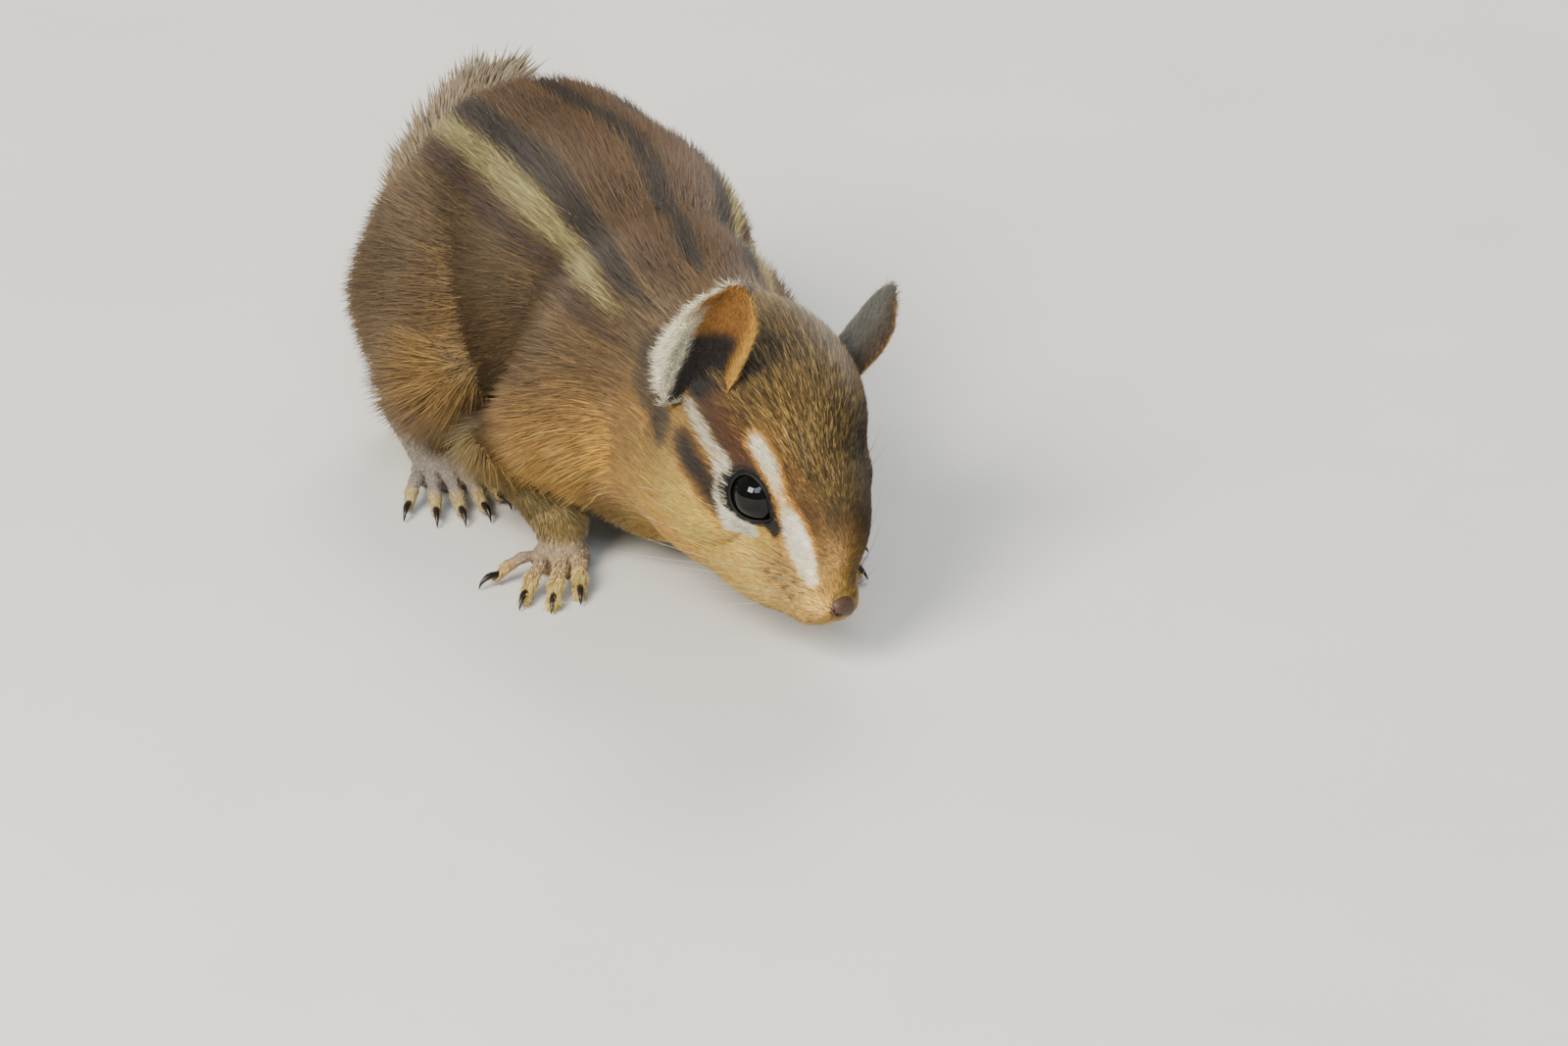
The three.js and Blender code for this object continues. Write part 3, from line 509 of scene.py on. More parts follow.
def surface_net(field, low, high, cell):
    """Vertices and quads where the field is zero in the box, settled on to it."""
    low, high = np.array(low, float), np.array(high, float)
    count = np.ceil((high - low) / cell).astype(int) + 1
    axes = [low[k] + cell * np.arange(count[k]) for k in range(3)]
    grid = np.stack(np.meshgrid(*axes, indexing="ij"), -1).reshape(-1, 3)
    values = in_chunks(field, grid).reshape(count)
    values[[0, -1]] = values[:, [0, -1]] = values[:, :, [0, -1]] = cell
    inside = values < 0
    cells = count - 1
    total = np.zeros((*cells, 3))
    crossings = np.zeros(cells)
    corners = [(i, j, k) for i in (0, 1) for j in (0, 1) for k in (0, 1)]

    def corner(array, c):
        return array[c[0] : c[0] + cells[0], c[1] : c[1] + cells[1], c[2] : c[2] + cells[2]]

    for a in corners:
        for b in corners:
            if b <= a or sum(abs(p - q) for p, q in zip(a, b)) != 1:
                continue
            va, vb = corner(values, a), corner(values, b)
            crosses = (va < 0) != (vb < 0)
            share = np.where(crosses, va / np.where(crosses, va - vb, 1), 0)
            for k in range(3):
                total[..., k] += np.where(crosses, a[k] + share * (b[k] - a[k]), 0)
            crossings += crosses
    active = crossings > 0
    number = -np.ones(cells, int)
    number[active] = np.arange(active.sum())
    where = np.argwhere(active)
    points = low + cell * (where + total[active] / crossings[active][:, None])
    quads = []
    for axis in range(3):
        u, v = [k for k in range(3) if k != axis]
        here = [slice(1, -1)] * 3
        there = [slice(1, -1)] * 3
        here[axis], there[axis] = slice(0, -1), slice(1, None)
        a, b = inside[tuple(here)], inside[tuple(there)]
        places = np.argwhere(a != b)
        rising = a[a != b]
        start = places.copy()
        start[:, u] += 1
        start[:, v] += 1
        ring = []
        for du, dv in ((-1, -1), (0, -1), (0, 0), (-1, 0)):
            cell_at = start.copy()
            cell_at[:, u] += du
            cell_at[:, v] += dv
            ring.append(number[tuple(cell_at.T)])
        ring = np.stack(ring, 1)
        flip = rising if axis != 1 else ~rising
        ring[~flip] = ring[~flip][:, ::-1]
        quads.append(ring)
    most = SETTLE_STEP * cell
    for _ in range(SETTLE_ROUNDS):
        slope = slope_of(field, points)
        off = in_chunks(field, points)
        step = -off / np.maximum((slope**2).sum(1), LEAST_SLOPE)
        points += np.clip(step, -most, most)[:, None] * slope
    return points, np.vstack(quads)


# Markings, where one function colours the skin and the coat. The stripes of the face are bent
# lines on the right side of the head, in the head's own frame.

STRIPE_OVER = [
    (-9.3, 2.4, 4.5),
    (-8.3, -0.9, 3.8),
    (-7.2, -5.2, 1.5),
    (-5.1, -9.8, -1.7),
    (-3.7, -12.9, -3.8),
]
STRIPE_UNDER = [
    (-11.8, 11.7, -0.4),
    (-11.3, 5.3, -0.3),
    (-10.9, 1.8, -1.6),
    (-8.9, -1.8, -4.8),
    (-8.0, -3.6, -5.5),
]
DARK_OVER = [(-8.3, 2.9, 6.7), (-6.4, -4.1, 3.9), (-4.5, -9.7, 0.7), (-1.5, -14.3, -3.3)]
DARK_UNDER = [(-12.2, 9.0, -3.5), (-11.9, 3.2, -3.8), (-10.7, -0.9, -4.6)]
DARK_BETWEEN = [(-6.9, -6.4, -2.7), (-4.8, -11.2, -5.3)]
EYE_TO_EAR = [(-11.2, 10.9, 4.5), (-10.3, 2.7, 1.5)]
BEHIND_EAR = [(-9.2, 23.0, -2.7), (-10.3, 19.8, -4.9), (-10.5, 18.2, -7.4), (-11.4, 13.4, -6.0)]
EAR_PATCH = [(-11.2, 16.2, -3.0), (-10.4, 18.4, -2.2), (-9.6, 20.5, 0.0)]
# Along this line below the ear, the near-black of the ear's pit is painted as shade
EAR_NOTCH_SHADE = [(-11.9, 12.2, 3.5), (-12.1, 12.4, -1.3)]
WHISKER_SPOT = (-5.4, -8.9, -5.5)


def from_line(points, line):
    """Distance of points from a bent line, on either side of the head."""
    right = folded(points, -1)
    return np.min([cone(line[i], line[i + 1], 0, 0)(right) for i in range(len(line) - 1)], axis=0)


def eye_gap(points):
    """Distance from the nearer eyeball's middle."""
    return np.min([gap(points, eye_centre(side)) for side in SIDES], axis=0)


def tint(base, other, weight):
    return base + (colour(other) - base) * weight[:, None]


# The back's middle line, x at each y
MIDLINE = ([-42, -30, -21, -9, 4, 20, 35, 50], [8.0, 4.2, 3.4, 4.6, 4.8, 3.6, 1.5, 0.0])
# Colour, from and to in degrees round the trunk, softness, strength and front end
BACK_STRIPES = [
    ("chestnut", 46, 55, 5, 0.65, -29),
    ("pale", 36.5, 45, 3.5, 0.95, -24),
    ("dark", 25, 35.5, 3.5, 0.9, -28),
    ("rusty", 6, 24, 4, 0.9, -30),
    ("dark", -9, 5, 4, 0.9, -29),
]


def markings(points):
    """The coat's colour at points of the body, in the part's frame."""
    local = to_head(points)
    x, y, z = points.T
    mid = np.interp(y, *MIDLINE)
    around = np.degrees(np.arctan2(np.abs(x - mid), z - 24))
    shade = np.tile(colour("tawny"), (len(points), 1))
    shade = tint(shade, "ochre", smoothstep(30, 16, z) * smoothstep(-5, -24, y))
    under_trunk = smoothstep(-30, -12, y) * smoothstep(46, 36, y)
    shade = tint(shade, "belly", smoothstep(122, 145, around) * under_trunk)
    for name, low, high, soft, strength, start in BACK_STRIPES:
        shrink = (high - low) * 0.4 * smoothstep(start + 9, start, y)  # drawn to a point in front
        band = smoothstep(low - soft / 2, low + soft / 2, around - shrink)
        band *= smoothstep(high + soft / 2, high - soft / 2, around + shrink)
        ends = smoothstep(start - 2.5, start + 2.5, y) * smoothstep(52, 42, y)
        shade = tint(shade, name, band * ends * strength)
    shade = tint(shade, "olive", smoothstep(38, 50, y) * smoothstep(120, 80, around))
    limbs = np.min([form(points) for side in SIDES for form in chain(FORE[side], [4, 3.6, 3])], 0)
    shade = tint(shade, "forearm", smoothstep(2.0, -1.5, limbs) * smoothstep(18, 9, z))
    hind = np.min([form(points) for side in SIDES for form in chain(HIND[side][1:], [5, 3.6])], 0)
    shade = tint(shade, "forearm", smoothstep(1.5, -1.5, hind) * smoothstep(13, 7, z))
    low = smoothstep(5.4, 4.0, z) * (y > -45)
    shade = tint(shade, "paw", low)
    for foot, middle, heading, side, _ in foot_places():
        for joints, _, _ in digit_places(foot, middle, heading, side):
            end = smoothstep(3.6, 1.8, gap(points, joints[3]))
            shade = tint(shade, "digit", end * (z < 4.5))

    # Head
    back, up = local[:, 1], local[:, 2]
    out = np.abs(local[:, 0])
    head = np.tile(colour("crown"), (len(points), 1))
    head = tint(head, "cheek", smoothstep(1.5, -5.5, up))
    head = tint(head, "ochre", smoothstep(4, 14, back) * smoothstep(2, -4, up) * 0.75)
    head = tint(head, "buff", smoothstep(-5, -10, back) * smoothstep(2, -3, up))
    nose_gap = gap(local, NOSE_PLACE + (0, 0, -1.6))
    head = tint(head, "lip", smoothstep(3.6, 1.6, nose_gap) * 0.8)
    head = tint(head, "rusty", smoothstep(-7, -11, back) * smoothstep(2.6, 1.2, out) * 0.75)
    over_eye = mix(0.8, 0.45, smoothstep(-13, -7, back))
    for name, line, far, near, strength in (
        ("chestnut", EYE_TO_EAR, 3.6, 1.6, 0.9),
        ("rusty", DARK_OVER, 2.8, 1.4, 0.8),
        ("dark", DARK_OVER, 1.8, 0.6, over_eye),
        ("chestnut", DARK_UNDER, 2.7, 1.7, 0.8),
        ("dark", DARK_UNDER, 1.9, 1.0, 1.0),
    ):
        head = tint(head, name, smoothstep(far, near, from_line(local, line)) * strength)
    spot = gap(folded(local, -1), WHISKER_SPOT)
    head = tint(head, "dark", smoothstep(2.0, 0.6, spot) * 0.4)
    head = tint(head, "dark", smoothstep(1.2, 0.2, from_line(local, DARK_BETWEEN)) * 0.5)
    beside_eye = np.exp(-(((back + 3.2) / 3.0) ** 2))  # where the stripe is narrow and orange
    pointed = mix(0.55, 1.0, smoothstep(-13.5, -10.5, back))
    over = from_line(local, STRIPE_OVER) - mix(1.5, 0.7, beside_eye) * pointed
    head = tint(head, "orange", smoothstep(1.0, 0.3, over) * (up > -1) * 0.7)
    head = tint(head, "white", smoothstep(0.45, -0.2, over) * (1 - 0.45 * beside_eye))
    under = from_line(local, STRIPE_UNDER) - mix(1.6, 1.2, smoothstep(0, 8, back))
    head = tint(head, "white", smoothstep(0.5, -0.2, under))
    near = eye_gap(points) < 6
    rim = np.where(near, np.min([lid_gap(points, side) for side in SIDES], axis=0), 9.0)
    head = tint(head, "lid", smoothstep(0.6, 0.25, rim))
    # Painted shade: the mouth's slit and its edges are darkened with the lid colour
    mouth_shade_gap = np.abs(up - mouth_height(back)) + np.maximum(back - MOUTH_CORNER, 0)
    head = tint(head, "lid", smoothstep(0.5, 0.2, mouth_shade_gap) * (back < -6) * 0.7)
    # Painted shade: the ear's pit and the notch below the ear are darkened with the near-black of the
    # cup
    head = tint(head, "canal_shade", smoothstep(0.7, 0.25, EAR_PIT(folded(local, 1))))
    head = tint(head, "canal_shade", smoothstep(1.5, 0.7, from_line(local, EAR_NOTCH_SHADE)))
    weight = smoothstep(26, 17, back + 0.25 * np.abs(up)) * (y < HEAD_BACK)
    weight = weight * smoothstep(-17, -13, up)
    shade = mix(shade, head, weight[:, None])
    ahead = y < HEAD_BACK
    crescent = from_line(local, BEHIND_EAR) - mix(1.8, 3.1, smoothstep(-2, -7, up))
    shade = tint(shade, "slate", smoothstep(0.9, -0.9, crescent) * ahead * 0.8)
    shade = tint(shade, "white", smoothstep(1.9, 0.9, from_line(local, EAR_PATCH)) * ahead * 0.9)
    throat = smoothstep(22, 6, z + 0.25 * (y + 60)) * smoothstep(-12, -24, y)
    shade = tint(shade, "cheek", throat * 0.6)

    # Tail
    share, _, _ = tail_place(points)
    tail = np.tile(colour("tail_rusty"), (len(points), 1))
    tail = tint(tail, "dark", smoothstep(0.72, 0.95, share) * 0.6)
    return mix(shade, tail, smoothstep(50, 68, y)[:, None])


# Lie of the coat


def lie_of(points):
    """The way the hair points along the skin."""
    local = to_head(points)
    out = np.clip(local[:, 0] / 12, -1, 1)
    head = np.column_stack([0.25 * out, np.ones(len(points)), -0.28 * np.ones(len(points))])
    head[:, 2] += 0.3 * smoothstep(-4, 6, local[:, 2])
    head = head @ HEAD_TURN.T
    flank = smoothstep(38, 18, points[:, 2])
    body = np.column_stack(
        [0.35 * flank * np.sign(points[:, 0] - 2), np.ones(len(points)), -0.15 - 0.55 * flank]
    )
    near_head = smoothstep(-22, -34, points[:, 1])[:, None]
    way = mix(body, head, near_head)
    for limb, low in ((FORE, 15), (HIND, 11)):
        for side in SIDES:
            distance = cone(limb[side][1], limb[side][2], 4.5, 3)(points)
            weight = smoothstep(1.5, -1.0, distance) * smoothstep(low + 3, low - 2, points[:, 2])
            down = limb[side][2] - limb[side][1]
            way = mix(way, down / np.linalg.norm(down), weight[:, None])
    for _, middle, heading, _, _ in foot_places():
        near = np.linalg.norm((points - middle)[:, :2], axis=1)
        weight = smoothstep(14, 11, near) * (points[:, 2] < 5.2)
        ahead = np.array([math.sin(heading), -math.cos(heading), -0.25])
        way = mix(way, ahead, weight[:, None])
    _, along, offset = tail_place(points)
    behind = smoothstep(50, 55, points[:, 1])[:, None]
    spread = unit(offset)
    spread = spread * (0.18 + 0.62 * np.abs(spread[:, :1]))
    way = mix(way, along + spread * 0.9, behind)
    return unit(way)


def coat_tone(root, way, length, share=0.55):
    """Markings for tufts: they are set by where a tuft is seen, part of the way to its tip."""
    return markings(root + unit(way) * length[:, None] * share)


def coat_length(points):
    """Length of the coat in millimetres."""
    s = sizes()
    body, face, paw = s.coat_body / MM, s.coat_face / MM, s.coat_paw / MM
    local = to_head(points)
    length = np.full(len(points), body)
    length = mix(length, body * 1.15, smoothstep(34, 18, points[:, 2]))
    low = smoothstep(16, 5, points[:, 2]) * (points[:, 1] > -38)
    length = mix(length, paw, low)
    head = mix(face * 0.62, body * 0.72, smoothstep(-13, 22, local[:, 1]))
    return mix(length, head, smoothstep(-24, -34, points[:, 1]))


# Meshes


def place_in_metres(points):
    """Points of the part's frame in metres, where the CAD has them."""
    return (np.asarray(points) + SHIFT) * MM


def linked(name, data):
    made = bpy.data.objects.new(name, data)
    bpy.context.scene.collection.objects.link(made)
    return made


def read(data, attribute, width, kind=float):
    """An attribute of a mesh's elements, as rows of so many values."""
    values = np.empty(len(data) * width, kind)
    data.foreach_get(attribute, values)
    return values.reshape(-1, width)


def new_mesh(name, points, faces, finish, smooth=True):
    """A mesh object at the origin. faces is an array of one face size, or a list of such."""
    mesh = bpy.data.meshes.new(name)
    groups = faces if isinstance(faces, list) else [faces]
    mesh.vertices.add(len(points))
    mesh.vertices.foreach_set("co", np.asarray(points, np.float32).ravel())
    corners = np.concatenate([g.ravel() for g in groups])
    counts = np.concatenate([np.full(len(g), g.shape[1]) for g in groups])
    mesh.loops.add(len(corners))
    mesh.loops.foreach_set("vertex_index", corners.astype(np.int32))
    mesh.polygons.add(len(counts))
    starts = np.concatenate([[0], np.cumsum(counts)[:-1]])
    mesh.polygons.foreach_set("loop_start", starts.astype(np.int32))
    mesh.update(calc_edges=True)
    mesh.validate()
    mesh.polygons.foreach_set("use_smooth", np.full(len(mesh.polygons), smooth))
    mesh.materials.append(finish)
    return linked(name, mesh)


def paint(obj, colours):
    """Stores a colour for each vertex, which the coat's materials read."""
    layer = obj.data.color_attributes.new("Markings", "FLOAT_COLOR", "POINT")
    rgba = np.column_stack([colours, np.ones(len(colours))]).astype(np.float32)
    layer.data.foreach_set("color", rgba.ravel())


def ring_quads(rows, columns, closed=False):
    """Faces between rows of points that run round a loop. closed joins the last to the first."""
    i, j = np.meshgrid(np.arange(rows - (not closed)), np.arange(columns), indexing="ij")
    i, j = i.ravel(), j.ravel()
    k, m = (j + 1) % columns, (i + 1) % rows
    return np.column_stack([i * columns + j, i * columns + k, m * columns + k, m * columns + j])


def fan(first, columns, tip):
    """Triangles from the loop of points that starts at first to the point tip."""
    loop = np.arange(columns)
    return np.column_stack([first + loop, first + (loop + 1) % columns, np.full(columns, tip)])


def joined(parts):
    """Joins (vertices, quads, triangles) bodies into one."""
    verts, quads, tris, base = [], [], [], 0
    for v, q, t in parts:
        verts.append(v)
        quads.append(q + base)
        tris.append(t + base)
        base += len(v)
    return np.vstack(verts), np.vstack(quads), np.vstack(tris)


# Materials


def node(tree, kind, settings=None, **links):
    """Adds a node with its settings. A link is named for its input, with spaces as _."""
    made = tree.nodes.new(kind)
    for name, value in (settings or {}).items():
        if name in made.inputs:
            made.inputs[name].default_value = value
        else:
            setattr(made, name, value)
    for name, source in links.items():
        key = int(name[1:]) if name[0] == "_" else name.replace("_", " ")
        tree.links.new(source, made.inputs[key])
    return made


def material(name, settings):
    made = bpy.data.materials.new(name)
    made.use_nodes = True
    tree = made.node_tree
    tree.nodes.clear()
    shader = node(tree, "ShaderNodeBsdfPrincipled", settings)
    node(tree, "ShaderNodeOutputMaterial", Surface=shader.outputs[0])
    return made, tree, shader


def per_metre(millimetres):
    """Noise scale whose grains are that wide."""
    return 1 / (millimetres * MM)


def flat_colour(tree, tone):
    flat = node(tree, "ShaderNodeRGB")
    flat.outputs[0].default_value = (*colour(tone), 1)
    return flat.outputs[0]


def bumped(tree, shader, height, strength, millimetres):
    values = {"Strength": strength, "Distance": millimetres * MM}
    bump = node(tree, "ShaderNodeBump", values, Height=height)
    tree.links.new(bump.outputs[0], shader.inputs["Normal"])


def mottled(tree, shader, source, grain, low, high):
    """Varies a colour's brightness in grains of a real width, from low to high."""
    where = node(tree, "ShaderNodeTexCoord").outputs["Object"]
    noise = node(tree, "ShaderNodeTexNoise", {"Scale": per_metre(grain), "Detail": 3.0}, Vector=where)
    span = node(
        tree,
        "ShaderNodeMapRange",
        {"From Min": 0.3, "From Max": 0.7, "To Min": low, "To Max": high},
        Value=noise.outputs["Fac"],
    )
    scale = {"operation": "SCALE"}
    shaded = node(tree, "ShaderNodeVectorMath", scale, _0=source, Scale=span.outputs[0])
    tree.links.new(shaded.outputs[0], shader.inputs["Base Color"])
    return noise


def hair_material(name, roughness, grain):
    # Keratin hair, fine and slightly oily: each hair has a soft sheen and its own lightness
    made, tree, shader = material(
        name,
        {
            "Roughness": roughness,
            "Specular IOR Level": 0.3,
            "Sheen Weight": 0.04,
            "Sheen Roughness": 0.4,
        },
    )
    marks = node(tree, "ShaderNodeAttribute", {"attribute_name": "Markings"})
    mottled(tree, shader, marks.outputs["Color"], grain, 0.82, 1.16)
    return made


def skin_material():
    # Skin with close underfur: matt, with the hair's fine grain as bump
    made, tree, shader = material("skin_underfur", {"Roughness": 0.8, "Specular IOR Level": 0.25})
    marks = node(tree, "ShaderNodeAttribute", {"attribute_name": "Markings"})
    noise = mottled(tree, shader, marks.outputs["Color"], 0.5, 0.7, 1.1)
    bumped(tree, shader, noise.outputs["Fac"], 0.5, 0.15)
    return made


def eye_material():
    # Wet cornea over a near-black iris: mirror-smooth, so that it shows small bright highlights
    made, tree, shader = material(
        "cornea_black", {"Roughness": 0.02, "IOR": 1.376, "Specular IOR Level": 0.45}
    )
    mottled(tree, shader, flat_colour(tree, "eye"), 1.2, 0.6, 1.8)
    return made


def bare_material(name, tone, roughness, grain, coat=0.0):
    # Bare skin: fine creases, a little moist where coat is set
    made, tree, shader = material(
        name,
        {
            "Roughness": roughness,
            "Specular IOR Level": 0.3,
            "Coat Weight": coat,
            "Coat Roughness": 0.25,
        },
    )
    mottled(tree, shader, flat_colour(tree, tone), grain, 0.75, 1.2)
    where = node(tree, "ShaderNodeTexCoord").outputs["Object"]
    cells = node(
        tree, "ShaderNodeTexVoronoi", {"Scale": per_metre(grain * 0.7), "feature": "F1"}, Vector=where
    )
    bumped(tree, shader, cells.outputs["Distance"], 0.45, 0.06)
    return made


# Ears: a leaf-shaped cup between two rims, in the head's frame, for the left ear

EAR_FRONT = [(9.9, 9.4, 2.8), (10.5, 10.3, 9.5), (11.0, 11.9, 15.6), (12.1, 14.7, 18.5)]
EAR_DEEP = [(8.6, 13.6, 1.5), (8.6, 16.8, 8.5), (10.2, 17.6, 14.6), (12.2, 15.9, 19.1)]
EAR_REAR = [(12.2, 14.2, -3.2), (15.0, 17.0, 4.5), (14.8, 17.9, 12.8), (12.8, 17.0, 18.3)]
EAR_THICK = 0.9
EAR_FLARE = 1.6
EAR_LEFT_TIP = np.array([1.0, -1.0, -3.2])  # the left ear is turned outwards
EAR_ROWS, EAR_COLUMNS = 30, 22


def ear_body(side):
    """Vertices, quads, triangles, and for each vertex its row, column and whether it is outside."""
    front, deep, rear = [
        smooth_path(np.array(line, float), EAR_ROWS) for line in (EAR_FRONT, EAR_DEEP, EAR_REAR)
    ]
    t = np.linspace(0, 1, EAR_ROWS)[:, None, None]
    u = np.linspace(0, 1, EAR_COLUMNS)[None, :, None]
    inner = (1 - u) ** 2 * front[:, None] + 2 * u * (1 - u) * deep[:, None] + u**2 * rear[:, None]
    behind = unit(deep - (front + rear) / 2)
    middle = 1 - (2 * u - 1) ** 2
    outer = inner + behind[:, None] * EAR_THICK * (0.35 + 0.65 * middle) * mix(1, 0.55, t)
    ring = np.concatenate([inner, outer[:, ::-1]], axis=1)
    if side > 0:
        ring[..., 0] += EAR_FLARE * np.sin(math.pi * t[..., 0])
        ring += EAR_LEFT_TIP * t
    ring[..., 0] *= side
    columns = ring.shape[1]
    verts = ring.reshape(-1, 3) @ HEAD_TURN.T + EYES_AT
    quads = ring_quads(EAR_ROWS, columns)
    ends = np.vstack([verts[:columns].mean(0), verts[-columns:].mean(0)])
    low = fan(0, columns, len(verts))[:, [1, 0, 2]]
    high = fan((EAR_ROWS - 1) * columns, columns, len(verts) + 1)
    tris = np.vstack([low, high])
    if side < 0:
        quads, tris = quads[:, ::-1], tris[:, ::-1]
    outside = np.tile(np.arange(columns) >= EAR_COLUMNS, EAR_ROWS)
    once = np.linspace(0, 1, EAR_COLUMNS)
    across = np.tile(np.concatenate([once, np.linspace(1, 0, EAR_COLUMNS)]), EAR_ROWS)
    rows = np.repeat(np.linspace(0, 1, EAR_ROWS), columns)
    outside, across = np.append(outside, [True, True]), np.append(across, [0.5, 0.5])
    return np.vstack([verts, ends]), quads, tris, outside, across, np.append(rows, [0, 1])


def ear_shade(outside, across, rows):
    """Orange inside and on the front rim, darkened low in the cup as painted shade, pale on the rear
    rim and back.
    """
    shade = np.tile(colour("ear"), (len(rows), 1))
    shade = tint(shade, "rim", smoothstep(0.2, 0.04, across))
    # Painted shade: the low middle of the cup, where it is deepest, is darkened
    low = smoothstep(0.62, 0.48, rows + 0.12 * across)
    shade = tint(shade, "canal_shade", low * smoothstep(0.1, 0.26, across))
    pale_from = mix(0.93, 0.77, smoothstep(0.0, 0.34, rows))
    pale = smoothstep(pale_from, pale_from + 0.09, across)
    shade = tint(shade, "white", pale * smoothstep(0.8, 0.45, rows) * 0.9)
    back = np.tile(colour("ear_back"), (len(rows), 1))
    strength = mix(0.3, 0.9, smoothstep(0.0, 0.2, rows))
    back = tint(back, "white", smoothstep(0.72, 0.95, across) * strength)
    back = tint(back, "chestnut", smoothstep(0.25, 0.05, across) * 0.7)
    return np.where(outside[:, None], back, shade)


# Operators, in the order that main calls them


class CHIPMUNK_OT_stage(bpy.types.Operator):
    """Camera at the photograph's angle, pale floor and soft studio light"""

    bl_idname = "chipmunk.stage"
    bl_label = "Stage"

    ELEVATION, AZIMUTH = 25.0, 19.6
    DISTANCE, LENS = 2.0, 378.6
    AIM = (-2.36, -5.76)  # of the picture's middle from the eyes, to the right and up, in mm
    SENSOR, NEAR, FAR = 36, 0.1, 20  # in mm, metres and metres
    FLOOR_HALF = 3.0
    LIGHTS = (  # name, place from the aim, width, power and colour
        ("key", (-0.64, -0.42, 0.66), 0.45, 19.5, (1.0, 0.93, 0.80)),
        ("fill", (-0.22, -0.74, 0.72), 0.42, 5.5, (0.68, 0.85, 1.0)),
        ("rim", (0.3, 0.7, 0.6), 0.4, 7.0, (1.0, 0.97, 0.92)),
    )
    SKY, SKY_STRENGTH = (0.8, 0.86, 0.95, 1), 0.35

    def execute(self, context):
        e, a = math.radians(self.ELEVATION), math.radians(self.AZIMUTH)
        right = Vector((math.cos(a), -math.sin(a), 0))
        level = Vector((-math.sin(a), -math.cos(a), 0))
        toward = level * math.cos(e) + Vector((0, 0, math.sin(e)))
        up = toward.cross(right)
        target = Vector(place_in_metres(EYES_AT)) + (right * self.AIM[0] + up * self.AIM[1]) * MM
        data = bpy.data.cameras.new("camera")
        data.lens, data.sensor_width = self.LENS, self.SENSOR
        data.clip_start, data.clip_end = self.NEAR, self.FAR
        camera = linked("camera", data)
        basis = Matrix((right, up, toward)).transposed().to_4x4()
        camera.matrix_world = Matrix.Translation(target + toward * self.DISTANCE) @ basis
        context.scene.camera = camera

        # Painted board: matt, nearly white
        board, tree, shader = material("matt_board", {"Roughness": 0.85})
        mottled(tree, shader, flat_colour(tree, "floor"), 40, 0.97, 1.02)
        half = self.FLOOR_HALF
        floor = new_mesh(
            "floor",
            [(-half, -half, 0), (half, -half, 0), (half, half, 0), (-half, half, 0)],
            np.array([[0, 1, 2, 3]]),
            board,
        )

        for name, offset, width, power, tone in self.LIGHTS:
            lamp = bpy.data.lights.new(name, "AREA")
            lamp.energy, lamp.size, lamp.color = power, width, tone
            made = linked(name, lamp)
            made.location = target + Vector(offset)
            made.rotation_euler = (-Vector(offset)).to_track_quat("-Z", "Y").to_euler()
        world = bpy.data.worlds.new("room")
        world.use_nodes = True
        sky = world.node_tree.nodes["Background"].inputs
        sky["Color"].default_value, sky["Strength"].default_value = self.SKY, self.SKY_STRENGTH
        context.scene.world = world
        return {"FINISHED"}


FLESH_NODES = [
    "head",
    "neck",
    "torso",
    *[
        f"{part}_{side}"
        for part in ("ear", "foreleg", "hindleg", "forepaw", "hindfoot")
        for side in ("left", "right")
    ],
]
TAIL_NODES = ["tail_root", "tail_middle", "tail_tip"]
UNDERFUR_AND_SHADE, EAR_UNDERFUR_AND_SHADE = 0.62, 0.8  # brightness of the skin against its coat: darker, partly for the real underfur and partly as painted shade under the tufts
SKIN_LOWEST, HAIR_LOWEST, WHISKER_LOWEST = 0.02, 0.03, 0.3  # least height over the soles
SKIN_BOX = (-29, -66, -1), (33, 122, 48)
UNWRAP_ANGLE, UNWRAP_MARGIN = 72, 0.002


class CHIPMUNK_OT_skin(bpy.types.Operator):
    """The whole skin: head, trunk, legs, feet and tail from one field, with the ears"""

    bl_idname = "chipmunk.skin"
    bl_label = "Skin"

    def execute(self, context):
        step = sizes().skin_step / MM * 1
        points, quads = surface_net(skin_field, *SKIN_BOX, step)
        points[:, 2] = np.maximum(points[:, 2], SKIN_LOWEST)
        # The skin and ears are darkened under their coat, partly as painted shade
        shade = markings(points) * UNDERFUR_AND_SHADE
        ears = [ear_body(side) for side in SIDES]
        verts, faces, tris = joined(
            [(points, quads, np.zeros((0, 3), int))] + [ear[:3] for ear in ears]
        )
        shade = np.vstack([shade] + [ear_shade(*ear[3:]) * EAR_UNDERFUR_AND_SHADE for ear in ears])
        skin = new_mesh("skin", place_in_metres(verts), [faces, tris], skin_material())
        paint(skin, shade)
        context.view_layer.objects.active = skin
        skin.select_set(True)
        bpy.ops.object.mode_set(mode="EDIT")
        bpy.ops.mesh.select_all(action="SELECT")
        bpy.ops.uv.smart_project(
            angle_limit=math.radians(UNWRAP_ANGLE), island_margin=UNWRAP_MARGIN
        )
        bpy.ops.object.mode_set(mode="OBJECT")
        skin.select_set(False)
        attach(skin, "root")
        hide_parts(*FLESH_NODES, *TAIL_NODES)
        return {"FINISHED"}


